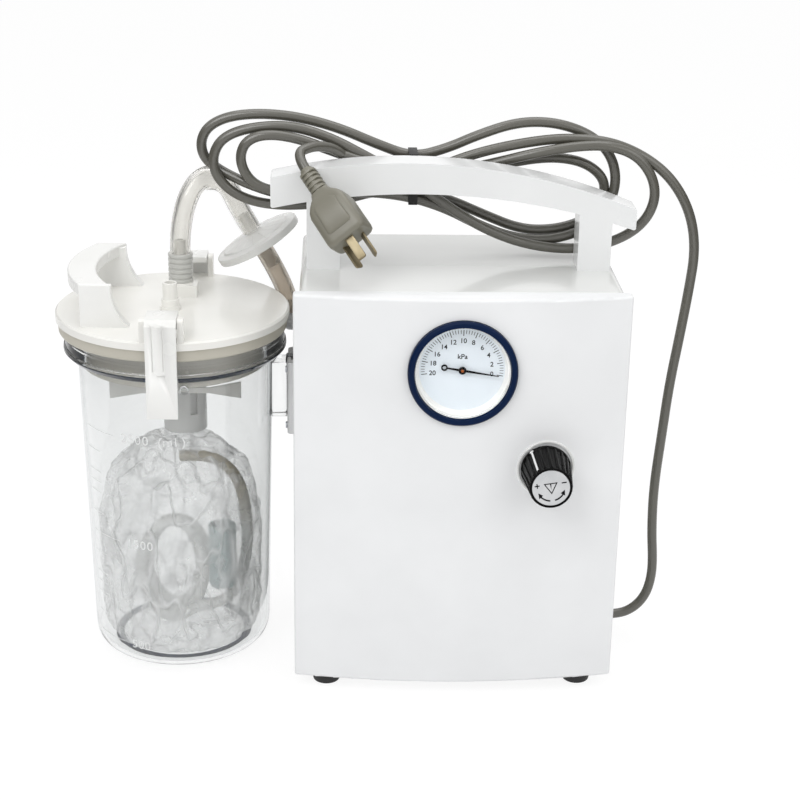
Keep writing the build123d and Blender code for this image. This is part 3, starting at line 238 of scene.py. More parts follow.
def make_materials():
    """Every finish of the part, by the record's material slot or by its own name."""
    look = bpy.context.scene.aspirator_colours
    white, navy, grey = (hex_code(colour) for colour in (look.case_white, look.ring_navy, look.cord_grey))
    MATERIALS.update({
        # Injection-moulded ABS: bright and glossy, with soft mirrored edges; satin on the printed panel
        "case_white": plastic("ABS_gloss_white_case", "#E6E7E5", "#E1E2E0", 0.16, 0.9, 0.02, coat=0.3),
        "panel_white": plastic("ABS_satin_white_panel", white, "#EEEFF0", 0.34, 0.35, 0.015),
        "handle_white": plastic("ABS_gloss_white_handle", "#F0F1F1", "#EBECEC", 0.20, 0.8, 0.02, coat=0.2),
        "connector_grey": plastic("ABS_pale_grey", "#C8C8C4", "#BFBFBB", 0.32, 0.5, 0.02),
        # Polypropylene and acetal: waxy and a little warm; milky where the wall is thin
        "lid_white": plastic("Polypropylene_warm_white", "#F5F4F0", "#F0EFEA", 0.22, 0.5, 0.02, coat=0.15),
        "clip_white": plastic("Acetal_white", "#F3F3F1", "#EDEDEA", 0.24, 0.5, 0.015),
        "filter_milky": clear("Polypropylene_milky", "#F8F8F6", 1.4, 0.18, 0.62, 90.0),
        # Painted shade: a translucent beige sleeve inside the jar's neck, for the shade under the lid
        "collar_painted_shade": clear("Polypropylene_collar_painted_shade", "#E8E4D9", 1.4, 0.25, 0.85, 70.0),
        # Moulded polycarbonate and acrylic: clear as glass, with painted shade, dark and bluish, where the
        # jar's wall is seen edge-on and in thin rings at its flange and heel
        "jar_clear": clear("Polycarbonate_clear", "#F3F4F4", 1.58, 0.0, edge="#7F8A92"),
        # Painted shade: the dark bluish tint of the thin rings at the jar's flange and heel
        "edge_painted_shade": clear("Polycarbonate_painted_edge_shade", "#22344A", 1.5, 0.05, 0.3),
        "lens_clear": clear("Acrylic_clear", "#FFFFFF", 1.15, 0.0),
        # Blown polythene film: see-through, with creases that carry a painted highlight
        "film_clear": film("Polythene_film", "#FFFFFF"),
        # Soft extruded PVC: clear to milky tube, with a soft gloss; a matt sleeve
        # Painted shade: the clear tube turns to its darker edge colour where its wall is seen edge-on
        "hose_clear": clear("PVC_tube_clear", "#F6F5F2", 1.48, 0.06, 0.16, 120.0, "#C9C6BE"),
        # Painted shade: the lower hose is tinted tan, for the darker case side seen through it
        "hose_tan_painted_shade": clear("PVC_tube_tan_painted_shade", "#DDD5CA", 1.48, 0.08, 0.2, 120.0),
        "hose_stored_painted_shade": stored_hose("PVC_tube_milky_painted_shade", "#FAFAF8", "#B9B19D"),
        "sleeve_green": plastic("PVC_grey_green", "#B4C2C2", "#A9B8B8", 0.38, 0.4, 0.02),
        # Rubber: dull and even, with no mirrored edge
        "seal_beige": plastic("Silicone_rubber_beige", "#C9C5B9", "#BEBAAD", 0.45, 0.4, 0.03),
        "foot_black": plastic("Nitrile_rubber_black", "#191919", "#232323", 0.60, 0.5, 0.05),
        "diaphragm_black": plastic("EPDM_rubber_black", "#1D1D1E", "#262627", 0.58, 0.5, 0.04),
        # The gauge: glossy dyed ABS ring, enamelled well, and a printed dial with no glare
        "ring_navy": plastic("ABS_gloss_navy", navy, "#00183A", 0.35, 0.8, 0.01, shine=0.12),
        "gauge_cream": plastic("Enamelled_steel_cream", "#F7F7F5", "#F1F1EE", 0.30, 0.7, 0.02),
        "dial_pale": plastic("Printed_aluminium_dial", "#E3EAF0", "#DCE5EC", 0.45, 0.2, 0.01),
        # Phenolic and PVC mouldings: deep black knob, and the sheath and plug with long highlights
        "black_plastic": plastic("Phenolic_black", "#090909", "#0E0E0E", 0.26, 0.6, 0.01, shine=0.07),
        "cord_grey": plastic("PVC_sheath_grey", grey, "#55534A", 0.22, 0.7, 0.02, shine=0.9),
        "plug_grey": plastic("PVC_moulded_grey", "#817E70", "#757265", 0.34, 0.9, 0.05, shine=0.7),
        # Printing ink: flat, thin and matt
        "print_black": plastic("Printing_ink_black", "#08090B", "#0D0E10", 0.6, 0.3, 0.01, shine=0.1),
        "print_white": plastic("Printing_ink_white", "#F1F2F2", "#E9EAEA", 0.50, 0.3, 0.01),
        # Bare metal: brushed, rolled, turned or cast, with its grain along the way it was worked
        "cap_silver": metal("Anodised_aluminium_silver", "#D4D5D6", "#C4C6C8", 0.30, 0.15, (1.0, 1.0, 12.0)),
        "blade_brass": metal("Rolled_brass", "#968B72", "#82775F", 0.34, 0.3, (1.0, 8.0, 1.0)),
        "screw_steel": metal("Zinc_plated_steel", "#B9BCC0", "#A8ABB0", 0.30, 0.2),
        "sheet_steel": metal("Galvanised_sheet_steel", "#A9ADB2", "#8F9499", 0.38, 3.0, depth=0.02),
        "valve_brass": metal("Turned_brass", "#BE9A55", "#B08D4B", 0.30, 0.2, (1.0, 14.0, 1.0)),
        "pump_alloy": metal("Die_cast_aluminium", "#A4A7AA", "#94979A", 0.48, 1.2, depth=0.06),
        "coil_copper": metal("Enamelled_copper_wire", "#B4683C", "#9C5530", 0.32, 0.4, (1.0, 1.0, 6.0)),
    })


# Mesh tools

def piece(name, mesh, body, slot, replaced=(), finish_name=None, smooth=40.0):
    """Puts a mesh in the scene as a finished piece that rides on a body."""
    made = bpy.data.objects.new(name, mesh)
    bpy.context.scene.collection.objects.link(made)
    mesh.materials.clear()
    mesh.materials.append(MATERIALS[finish_name or slot])
    mesh.polygons.foreach_set("material_index", [0] * len(mesh.polygons))
    if smooth:
        mesh.polygons.foreach_set("use_smooth", [True] * len(mesh.polygons))
        mesh.set_sharp_from_angle(angle=math.radians(smooth))
    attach(made, body)
    if replaced:
        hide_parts(*replaced)
    return made


def to_mesh(form, name):
    """The worked form as a mesh; the form is freed."""
    mesh = bpy.data.meshes.new(name)
    form.to_mesh(mesh)
    form.free()
    return mesh


def evaluated(made, name=None):
    """The mesh of an object with its modifiers taken in; the object is removed."""
    bpy.context.view_layer.update()
    mesh = bpy.data.meshes.new_from_object(made.evaluated_get(bpy.context.evaluated_depsgraph_get()))
    mesh.name = name or made.name
    bpy.data.objects.remove(made)
    return mesh


def loose(mesh):
    """A mesh as a working object, for a modifier."""
    made = bpy.data.objects.new(mesh.name, mesh)
    bpy.context.scene.collection.objects.link(made)
    return made


def bevelled(mesh, width, segments=3, angle=35.0):
    """The mesh with its edges rounded, and its broad faces shaded flat up to them."""
    mesh.polygons.foreach_set("use_smooth", [True] * len(mesh.polygons))
    mesh.set_sharp_from_angle(angle=math.radians(angle))
    made = loose(mesh)
    bevel = made.modifiers.new("Bevel", "BEVEL")
    bevel.width, bevel.segments, bevel.angle_limit = width * MM, segments, math.radians(angle)
    bevel.limit_method, bevel.use_clamp_overlap, bevel.miter_outer = "ANGLE", True, "MITER_ARC"
    normals = made.modifiers.new("Normals", "WEIGHTED_NORMAL")
    normals.weight, normals.keep_sharp = 90, True
    return evaluated(made, mesh.name)


def node_copy(node):
    """A merged copy of a CAD node's mesh, with its flat faces whole."""
    form = bmesh.new()
    form.from_mesh(frame["nodes"][node].data)
    bmesh.ops.remove_doubles(form, verts=form.verts, dist=0.5e-6)
    bmesh.ops.dissolve_limit(form, angle_limit=math.radians(0.6), verts=form.verts, edges=form.edges)
    return to_mesh(form, node)


def softened(name, node, body, slot, width, segments=3):
    """A CAD node with its sharp edges rounded as moulding leaves them."""
    return piece(name, bevelled(node_copy(node), width, segments), body, slot, (node,), smooth=0)


def keep(node, slot):
    """A CAD node that stays as it is, with its finish."""
    mesh = frame["nodes"][node].data
    mesh.materials.clear()
    mesh.materials.append(MATERIALS[slot])


FILLET_STEPS = 6


def rounded(points):
    """An outline of (radius, height, fillet) corners, with each fillet as a short arc."""
    outline = []
    count = len(points)
    for i, (r, z, fillet) in enumerate(points):
        here = Vector((r, z))
        if not fillet:
            outline.append(here)
            continue
        before = Vector(points[i - 1][:2]) - here
        after = Vector(points[(i + 1) % count][:2]) - here
        turn = before.angle(after)
        back = min(fillet / math.tan(turn / 2), 0.49 * before.length, 0.49 * after.length)
        a, b = here + before.normalized() * back, here + after.normalized() * back
        for k in range(FILLET_STEPS + 1):
            t = k / FILLET_STEPS
            outline.append(a * (1 - t) ** 2 + here * 2 * t * (1 - t) + b * t ** 2)
    return outline


def turned(name, corners, place, segments=128):
    """Revolves a closed outline round the place's Z, and closes its poles and seam."""
    outline = rounded(corners)
    form = bmesh.new()
    rings = []
    for i in range(segments):
        turn = 2 * math.pi * i / segments
        out = Vector((math.cos(turn), math.sin(turn), 0.0))
        rings.append([form.verts.new(out * max(r, 0.0) * MM + Vector((0, 0, z * MM))) for r, z in outline])
    for i in range(segments):
        a, b = rings[i], rings[(i + 1) % segments]
        for k in range(len(outline)):
            m = (k + 1) % len(outline)
            form.faces.new((a[k], b[k], b[m], a[m]))
    bmesh.ops.remove_doubles(form, verts=form.verts, dist=1e-6)
    bmesh.ops.dissolve_degenerate(form, edges=form.edges, dist=1e-7)
    bmesh.ops.recalc_face_normals(form, faces=form.faces)
    form.transform(place)
    return to_mesh(form, name)


def joined(name, meshes):
    """Several meshes as one."""
    form = bmesh.new()
    for mesh in meshes:
        form.from_mesh(mesh)
    return to_mesh(form, name)


def box_between(low, high, name="box"):
    """A box between two corners, in metres."""
    form = bmesh.new()
    bmesh.ops.create_cube(form, size=1.0)
    form.transform(Matrix.Translation((low + high) / 2) @ Matrix.Diagonal((*(high - low), 1.0)))
    return to_mesh(form, name)


def brick(x0, x1, y0, y1, z0, z1, width=0.0):
    """A box between two bench corners, with rounded edges where a width is given."""
    mesh = box_between(spot(x0, y0, z0), spot(x1, y1, z1))
    return bevelled(mesh, width, 3) if width else mesh


def small_box(x0, x1, y0, y1, z0, z1):
    """A box round a unit's own centre, in millimetres."""
    return box_between(Vector((x0, y0, z0)) * MM, Vector((x1, y1, z1)) * MM, "unit")


def cut_away(mesh, cutters):
    """The mesh with each cutter's space taken out of it, one after the other."""
    made = loose(mesh)
    for cutter in cutters:
        tool = loose(cutter)
        cut = made.modifiers.new("Cut", "BOOLEAN")
        cut.operation, cut.object, cut.solver = "DIFFERENCE", tool, "EXACT"
        bpy.context.view_layer.update()
        fresh = bpy.data.meshes.new_from_object(made.evaluated_get(bpy.context.evaluated_depsgraph_get()))
        made.modifiers.clear()
        made.data = fresh
        bpy.data.objects.remove(tool)
    mesh = made.data
    bpy.data.objects.remove(made)
    return mesh


def upright(x, y, z):
    """A place whose Z points up."""
    return Matrix.Translation(spot(x, y, z))


def facing_front(x, y, z):
    """A place whose Z points out of the front panel."""
    return Matrix.Translation(spot(x, y, z)) @ Matrix.Rotation(math.pi / 2, 4, "X")


def facing(x, y, z, way, side=None):
    """A place whose Z points along a way, and whose X is near a side."""
    z_axis = Vector(way).normalized()
    x_axis = Vector(side or ((0, 1, 0) if abs(z_axis.y) < 0.9 else (1, 0, 0)))
    x_axis = (x_axis - z_axis * x_axis.dot(z_axis)).normalized()
    y_axis = z_axis.cross(x_axis)
    turn = Matrix((x_axis, y_axis, z_axis)).transposed().to_4x4()
    return Matrix.Translation(spot(x, y, z)) @ turn


def letters(words, size, place, height=0.06, bold=0.0):
    """Text as a thin raised print. Each word comes with its X, Y and turn in the place's plane."""
    meshes = []
    for text, x, y, turn in words:
        curve = bpy.data.curves.new("letters", "FONT")
        curve.body, curve.size, curve.extrude = text, size * MM, height / 2 * MM
        curve.align_x, curve.align_y = "CENTER", "CENTER"
        curve.offset = bold * MM
        made = bpy.data.objects.new("letters", curve)
        bpy.context.scene.collection.objects.link(made)
        mesh = evaluated(made)
        mesh.transform(place @ Matrix.Translation((x * MM, y * MM, height / 2 * MM))
                       @ Matrix.Rotation(turn, 4, "Z"))
        meshes.append(mesh)
    return meshes


def flat_shape(points, place, height):
    """A flat outline in the place's plane, raised by a height."""
    form = bmesh.new()
    low = [form.verts.new((x * MM, y * MM, 0.0)) for x, y in points]
    form.faces.new(low)
    grown = bmesh.ops.extrude_face_region(form, geom=list(form.faces))
    for v in grown["geom"]:
        if isinstance(v, bmesh.types.BMVert):
            v.co.z += height * MM
    bmesh.ops.recalc_face_normals(form, faces=form.faces)
    form.transform(place)
    return to_mesh(form, "shape")


# Geometry Nodes

def repeat(name, unit, build, sizes):
    """Runs a node tree that places copies of a unit mesh, and gives back one plain mesh."""
    tree = bpy.data.node_groups.new(name, "GeometryNodeTree")
    tree.interface.new_socket("Geometry", in_out="INPUT", socket_type="NodeSocketGeometry")
    sockets = {}
    for key, value in sizes.items():
        kind = {int: "NodeSocketInt", float: "NodeSocketFloat"}.get(type(value), "NodeSocketVector")
        sockets[key] = tree.interface.new_socket(key, in_out="INPUT", socket_type=kind)
    finish_socket = tree.interface.new_socket("Finish", in_out="INPUT", socket_type="NodeSocketMaterial")
    tree.interface.new_socket("Geometry", in_out="OUTPUT", socket_type="NodeSocketGeometry")
    given = add(tree, "NodeGroupInput")
    copies = build(tree, given)
    whole = add(tree, "GeometryNodeRealizeInstances", {"Geometry": copies})
    painted = add(tree, "GeometryNodeSetMaterial", {"Geometry": whole.outputs[0],
                                                    "Material": given.outputs["Finish"]})
    add(tree, "NodeGroupOutput", {0: painted.outputs[0]})
    made = loose(unit)
    made.name = name
    modifier = made.modifiers.new(name, "NODES")
    modifier.node_group = tree
    for key, value in sizes.items():
        modifier[sockets[key].identifier] = value
    modifier[finish_socket.identifier] = MATERIALS["print_black"]
    return evaluated(made, name)


def round_tree(tree, given):
    """Copies round an arc of the XY plane, each turned with its place."""
    line = add(tree, "GeometryNodeMeshLine", {"Count": given.outputs["Count"]}, mode="OFFSET")
    index = add(tree, "GeometryNodeInputIndex").outputs[0]
    step = add(tree, "ShaderNodeMath", {0: index, 1: given.outputs["Step"]}, operation="MULTIPLY")
    angle = add(tree, "ShaderNodeMath", {0: step.outputs[0], 1: given.outputs["Start"]},
                operation="ADD").outputs[0]
    cos = add(tree, "ShaderNodeMath", {0: angle}, operation="COSINE").outputs[0]
    sin = add(tree, "ShaderNodeMath", {0: angle}, operation="SINE").outputs[0]
    way = add(tree, "ShaderNodeCombineXYZ", {"X": cos, "Y": sin}).outputs[0]
    radius = add(tree, "ShaderNodeVectorMath", {0: way, "Scale": given.outputs["Radius"]}, operation="SCALE")
    moved = add(tree, "GeometryNodeSetPosition", {"Geometry": line.outputs[0], "Position": radius.outputs[0]})
    turn = add(tree, "ShaderNodeCombineXYZ", {"Z": angle}).outputs[0]
    return add(tree, "GeometryNodeInstanceOnPoints", {
        "Points": moved.outputs[0], "Instance": given.outputs[0], "Rotation": turn}).outputs[0]


def line_tree(tree, given):
    """Copies along a line, a pitch apart."""
    line = add(tree, "GeometryNodeMeshLine", {"Count": given.outputs["Count"],
                                              "Offset": given.outputs["Pitch"]}, mode="OFFSET")
    return add(tree, "GeometryNodeInstanceOnPoints", {"Points": line.outputs[0],
                                                      "Instance": given.outputs[0]}).outputs[0]


def grid_tree(tree, given):
    """Copies at the corners of a grid."""
    grid = add(tree, "GeometryNodeMeshGrid", {
        "Size X": given.outputs["Width"], "Size Y": given.outputs["Depth"],
        "Vertices X": given.outputs["Columns"], "Vertices Y": given.outputs["Rows"]})
    return add(tree, "GeometryNodeInstanceOnPoints", {"Points": grid.outputs[0],
                                                      "Instance": given.outputs[0]}).outputs[0]


def round_copies(name, unit, place, count, radius, start, step):
    """Copies of a unit, drawn at the place's centre with its outward way along X."""
    mesh = repeat(name, unit, round_tree, {"Count": count, "Radius": radius * MM,
                                           "Start": math.radians(start), "Step": math.radians(step)})
    mesh.transform(place)
    return mesh


# Cords and hoses

def spline_of(name, points, radius=0.0):
    """A smooth NURBS curve with the points, in bench millimetres, as its control points."""
    curve = bpy.data.curves.new(name, "CURVE")
    curve.dimensions = "3D"
    curve.resolution_u = 10
    line = curve.splines.new("NURBS")
    line.points.add(len(points) - 1)
    for point, place in zip(line.points, points):
        point.co = (*spot(*place), 1.0)
    line.order_u = 3
    line.use_endpoint_u = True
    curve.bevel_depth = radius * MM
    curve.bevel_resolution = 6
    curve.use_fill_caps = True
    return curve


def path_of(points):
    """The places that a spline passes, in metres."""
    made = bpy.data.objects.new("path", spline_of("path", points))
    bpy.context.scene.collection.objects.link(made)
    return [v.co.copy() for v in evaluated(made).vertices]


def length_of(path):
    """The length of a path, in metres."""
    return sum((b - a).length for a, b in zip(path, path[1:]))


def hollow_tube(name, path, outer, bore, sides=24, squeeze=None):
    """A tube with a wall along a path. squeeze gives the share of its height that is left at each place."""
    form = bmesh.new()
    ways = [(path[min(i + 1, len(path) - 1)] - path[max(i - 1, 0)]).normalized() for i in range(len(path))]
    side = ways[0].orthogonal().normalized()
    skins = {outer: [], bore: []}
    for i, (place, way) in enumerate(zip(path, ways)):
        side = (side - way * side.dot(way)).normalized()
        up = way.cross(side)
        flat = squeeze(i / (len(path) - 1)) if squeeze else 1.0
        for radius, rings in skins.items():
            ring = []
            for k in range(sides):
                turn = 2 * math.pi * k / sides
                out = side * math.cos(turn) * (2 - flat) + up * math.sin(turn) * flat
                ring.append(form.verts.new(place + out * radius * MM))
            rings.append(ring)
    for radius, rings in skins.items():
        for a, b in zip(rings, rings[1:]):
            for k in range(sides):
                form.faces.new((a[k], a[(k + 1) % sides], b[(k + 1) % sides], b[k]))
    for end in (0, -1):
        for k in range(sides):
            m = (k + 1) % sides
            rim, hole = skins[outer][end], skins[bore][end]
            form.faces.new((rim[k], rim[m], hole[m], hole[k]))
    bmesh.ops.recalc_face_normals(form, faces=form.faces)
    return to_mesh(form, name)


CORD_R = 3.6
PLUG_START = Vector((-106.0, 53.0, 371.0))
PLUG_WAY = Vector((0.516, -0.57, -0.631))
PLUG_SIDE = Vector((0.77, 0.0, 0.63))
CORD_DROP = [(121, 78, 19), (133, 78, 19), (144.8, 79, 24.5), (152.5, 79, 35), (156, 80, 48),
             (156.5, 80, 63), (154, 81, 90), (153.5, 82, 125), (157, 84, 165), (160.3, 86, 205),
             (166, 88, 245), (170.5, 90, 280), (172.5, 90, 305), (169, 90, 328), (160, 90, 348),
             (146, 90.4, 365), (126, 91.4, 378)]
# The figure of eight: three turns in three layers, a cord's thickness apart, that cross at the tie
CORD_TURNS = [
    (104, 93, 385.5), (74, 94.4, 387), (44, 94.4, 383), (14, 94.4, 376), (-10, 94.4, 367), (-34, 94.4, 357),
    (-66, 94.4, 344.5), (-100, 94.4, 337.5), (-128, 94.4, 336.5), (-148, 94.4, 340), (-163, 94.4, 348),
    (-172, 94.4, 360), (-173, 94.4, 373), (-166, 94.4, 385), (-149, 94.4, 392), (-120, 94.4, 394.5),
    (-91, 93, 386.5), (-62, 89, 372), (-33, 87.2, 357),
    (-6, 87.2, 338), (18, 87.2, 323), (46, 87.2, 312), (76, 87.2, 307.5), (102, 87.2, 310),
    (123, 87.2, 318.5), (136, 87.2, 331), (141, 87.2, 347), (137, 87.2, 363), (125, 87.2, 377),
    (106, 87.2, 383.5),
    (84, 87.2, 383), (56, 88, 378), (26, 93, 369), (-3, 99, 361), (-34, 101.6, 352),
    (-68, 101.6, 342), (-100, 101.6, 340.5), (-120, 98.6, 343), (-134, 94.2, 346.8), (-149, 93.8, 352.4),
    (-160, 97.4, 356.6), (-170, 101.6, 361), (-180, 101.6, 369), (-182, 101.6, 381), (-176, 101.6, 392),
    (-161, 101.6, 399), (-138, 101.6, 401),
    (-112, 101.6, 398.5), (-84, 101.6, 391), (-58, 101.6, 380), (-32, 101.6, 370.5),
    (-8, 101.6, 377), (14, 101.6, 387), (40, 101.6, 396), (64, 101.6, 397), (86, 101.6, 391.5),
    (102, 101.6, 382), (112, 101.6, 368), (114, 99, 350), (106, 96, 331), (90, 94.4, 319), (66, 94.4, 312),
    (40, 94.4, 314),
    (16, 94.4, 323), (-8, 92, 336), (-34, 87.2, 345.5),
    (-64, 87.2, 349), (-96, 87.2, 347.5), (-122, 87.2, 347.5), (-140, 87.2, 351), (-150, 87.2, 360),
    (-154, 87.2, 373), (-149, 87.2, 385), (-134, 88, 389.5), (-112, 89, 386), (-88, 88, 377),
    (-62, 87.2, 369), (-33, 87.2, 366.5),
    (0, 95, 364), (34, 101.6, 366.5), (62, 101.6, 371.5), (84, 101.6, 370), (99, 101.6, 363),
    (107, 101.6, 352), (104, 101.6, 336), (92, 101.6, 324.5), (70, 101.6, 318), (46, 101.6, 318.5),
    (20, 101.6, 329),
    (-6, 99, 341), (-32, 95, 348.5), (-54, 92, 351.5), (-68, 90.4, 357.5)]
CORD_LEAD = [(-76, 90, 367), (-82, 87.5, 376), (-92, 81, 382.5), (-104, 71.5, 384.5),
             tuple(PLUG_START - PLUG_WAY * 16), tuple(PLUG_START)]


def plug_place():
    """A place at the plug's rear end whose Z points along it."""
    return facing(*PLUG_START, PLUG_WAY, PLUG_SIDE)


def lofted(name, sections, place, sides=40):
    """A closed skin through rounded sections of (height, width, depth, squareness)."""
    form = bmesh.new()
    rings = []
    for z, width, depth, square in sections:
        ring = []
        for k in range(sides):
            turn = 2 * math.pi * k / sides
            c, s = math.cos(turn), math.sin(turn)
            x = math.copysign(abs(c) ** (2 / square), c) * width / 2
            y = math.copysign(abs(s) ** (2 / square), s) * depth / 2
            ring.append(form.verts.new((x * MM, y * MM, z * MM)))
        rings.append(ring)
    for a, b in zip(rings, rings[1:]):
        for k in range(sides):
            form.faces.new((a[k], a[(k + 1) % sides], b[(k + 1) % sides], b[k]))
    form.faces.new(rings[0][::-1])
    form.faces.new(rings[-1])
    bmesh.ops.recalc_face_normals(form, faces=form.faces)
    form.transform(place)
    return to_mesh(form, name)


# Stage

WORLD_LEVEL = 0.56     # how bright the sky is to the surfaces that it lights
# The camera that was fitted to the photograph, in bench millimetres and radians
CAMERA_PLACE = (-85.2, -1139.9, 660.2)
YAW, PITCH, ROLL = 0.038, 0.3647, 0.0173
FOCAL_PIXELS, FRAME_PIXELS, SENSOR = 1780.2, 800, 36.0
# Each lamp's name, bench place, watts, and width in metres
LAMPS = (("key", (-700, -900, 1300), 7.6, 0.9), ("fill", (900, -700, 900), 3.0, 0.9),
         ("top", (0, 200, 1500), 4.8, 1.0))
LAMP_AIM = (0, 60, 180)


def ray_kinds(tree):
    """Whether a ray comes from the camera, and whether it was mirrored or went through glass."""
    ray = add(tree, "ShaderNodeLightPath").outputs
    through = add(tree, "ShaderNodeMath", {0: ray["Is Glossy Ray"], 1: ray["Is Transmission Ray"]},
                  operation="MAXIMUM")
    return ray["Is Camera Ray"], through.outputs[0]


def side_dark(tree, place, near, far):
    """Rises from 0 to 1 as the place goes out to either side."""
    across = add(tree, "ShaderNodeSeparateXYZ", {0: place}).outputs[0]
    away = add(tree, "ShaderNodeMath", {0: across}, operation="ABSOLUTE")
    return add(tree, "ShaderNodeMapRange", {"Value": away.outputs[0], "From Min": near,
                                            "From Max": far}).outputs[0]


def place_camera(scene):
    """The camera at the photograph's place, with its view and its slight roll."""
    forward = Vector((math.sin(YAW) * math.cos(PITCH), math.cos(YAW) * math.cos(PITCH), -math.sin(PITCH)))
    right = Vector((math.cos(YAW), -math.sin(YAW), 0.0))
    up = right.cross(forward)
    right, up = (math.cos(ROLL) * right + math.sin(ROLL) * up, math.cos(ROLL) * up - math.sin(ROLL) * right)
    data = bpy.data.cameras.new("camera")
    data.sensor_width, data.lens = SENSOR, FOCAL_PIXELS / FRAME_PIXELS * SENSOR
    data.clip_start, data.clip_end = 0.05, 50.0
    camera = bpy.data.objects.new("camera", data)
    scene.collection.objects.link(camera)
    camera.matrix_world = (Matrix.Translation(spot(*CAMERA_PLACE))
                           @ Matrix((right, up, -forward)).transposed().to_4x4())
    scene.camera = camera


def lay_floor(scene):
    """A pale floor, white to the camera and to mirrored rays, that keeps the object's shadow."""
    form = bmesh.new()
    bmesh.ops.create_grid(form, x_segments=1, y_segments=1, size=9.0)
    floor = bpy.data.objects.new("floor", to_mesh(form, "floor"))
    scene.collection.objects.link(floor)
    made, tree, place = blank("Painted_floor_pale")
    camera_ray, mirrored = ray_kinds(tree)
    # Far out on both sides the mirrored floor is dark, which draws the edges of clear walls
    far = side_dark(tree, place, 0.6, 1.1)
    share = add(tree, "ShaderNodeMath", {0: camera_ray, 1: mirrored}, operation="MAXIMUM")
    share = add(tree, "ShaderNodeMath", {0: share.outputs[0], 1: 0.8}, operation="MULTIPLY")
    level = add(tree, "ShaderNodeMath", {0: mirrored, 1: far}, operation="MULTIPLY")
    level = add(tree, "ShaderNodeMapRange", {"Value": level.outputs[0], "To Min": 1.1, "To Max": 0.12})
    paint = add(tree, "ShaderNodeBsdfDiffuse", {"Color": linear("#F6F6F6")})
    glow = add(tree, "ShaderNodeEmission", {"Strength": level.outputs[0]})
    mixed = add(tree, "ShaderNodeMixShader", {0: share.outputs[0], 1: paint.outputs[0], 2: glow.outputs[0]})
    floor.data.materials.append(finish(made, mixed))


def light_world(scene):
    """A plain sky: white to the camera, dimmer to surfaces, and dark low at both sides of mirrored rays."""
    world = bpy.data.worlds.new("studio")
    scene.world = world
    world.use_nodes = True
    world.node_tree.nodes.clear()
    tree = world.node_tree
    camera_ray, mirrored = ray_kinds(tree)
    way = add(tree, "ShaderNodeTexCoord").outputs["Generated"]
    height = add(tree, "ShaderNodeSeparateXYZ", {0: way}).outputs[2]
    low = add(tree, "ShaderNodeMapRange", {"Value": height, "From Min": 0.55, "From Max": 0.25})
    dark = add(tree, "ShaderNodeMath", {0: side_dark(tree, way, 0.35, 0.65), 1: low.outputs[0]},
               operation="MULTIPLY")
    mirror = add(tree, "ShaderNodeMapRange", {"Value": dark.outputs[0], "To Min": 1.0 - WORLD_LEVEL,
                                              "To Max": 0.1 - WORLD_LEVEL})
    extra = add(tree, "ShaderNodeMath", {0: mirrored, 1: mirror.outputs[0], 2: WORLD_LEVEL},
                operation="MULTIPLY_ADD")
    level = add(tree, "ShaderNodeMath", {0: camera_ray, 1: 1.0 - WORLD_LEVEL, 2: extra.outputs[0]},
                operation="MULTIPLY_ADD")
    back = add(tree, "ShaderNodeBackground", {"Color": (1, 1, 1, 1), "Strength": level.outputs[0]})
    add(tree, "ShaderNodeOutputWorld", {"Surface": back.outputs[0]})


def hang_lamps(scene):
    """Soft square lamps that look at the middle of the object."""
    for name, place, watts, wide in LAMPS:
        lamp = bpy.data.lights.new(name, "AREA")
        lamp.energy, lamp.size = watts, wide
        made = bpy.data.objects.new(name, lamp)
        scene.collection.objects.link(made)
        start = spot(*place)
        aim = (spot(*LAMP_AIM) - start).to_track_quat("-Z", "Y")
        made.matrix_world = Matrix.Translation(start) @ aim.to_matrix().to_4x4()


class ASPIRATOR_OT_stage(bpy.types.Operator):
    """The pale floor, the soft lamps, the world and the camera at the photograph's place"""
    bl_idname = "aspirator.stage"
    bl_label = "Stage"

    def execute(self, context):
        context.scene.view_settings.view_transform = "Standard"
        place_camera(context.scene)
        lay_floor(context.scene)
        light_world(context.scene)
        hang_lamps(context.scene)
        return {"FINISHED"}


# Mains cord and plug

TIE_X, TIE_Y, TIE_Z = (-35.2, -28.8), (82.9, 106.6), (340.5, 376.5)
TIE_THICK = 1.0
GLAND_PLACE = (111, 78, 19)


def plug_body():
    """The moulded plug: square plates in a row on a core, and a body with a raised facet."""
    plate = lofted("plate", [(0, 11.0, 10.4, 3.4), (0.3, 12.0, 11.4, 3.4), (1.9, 12.0, 11.4, 3.4),
                             (2.2, 11.0, 10.4, 3.4)], Matrix.Identity(4), 24)
    plates = repeat("plates", plate, line_tree, {"Count": 5, "Pitch": Vector((0, 0, 3.5 * MM))})
    plates.transform(plug_place() @ Matrix.Translation((0, 0, 1.0 * MM)))
    core = turned("core", [(0, -2, 0), (4.1, -2, 0.4), (5.0, 0, 0.4), (5.4, 20, 0), (0, 20, 0)],
                  plug_place(), 32)
    body = lofted("body", [(17.4, 11, 10, 3.0), (18, 13.5, 12.5, 3.6), (21.5, 16, 14.5, 4.2),
                           (22.5, 18, 16, 4.6), (26, 24, 19, 5.0), (30, 28, 22, 6.0), (34, 29.6, 23.6, 7.0),
                           (56, 30, 24, 7.0), (58.6, 29.2, 23.2, 6.5), (60, 27, 21, 5.5)], plug_place())
    facet = lofted("facet", [(29, 12, 1.6, 6.0), (31, 17, 3.4, 8.0), (50, 19, 3.8, 8.0), (52, 17, 1.6, 6.0)],
                   plug_place() @ Matrix.Translation((0, 11.4 * MM, 0)))
    return joined("plug", [plates, core, body, facet])


def plug_blades():
    """Two flat blades that lean to each other, and a third across them."""
    blades = []
    for x, y, turn in ((-7.0, -3.0, 30.0), (7.0, -3.0, -30.0), (0.0, 7.0, 90.0)):
        place = (plug_place() @ Matrix.Translation((x * MM, y * MM, 0))
                 @ Matrix.Rotation(math.radians(turn), 4, "Z"))
        blades.append(lofted("blade", [(59, 1.5, 6.3, 12), (76.6, 1.5, 6.3, 12), (77.6, 1.1, 5.4, 8),
                                       (78, 0.7, 4.6, 6)], place))
    return joined("blades", blades)


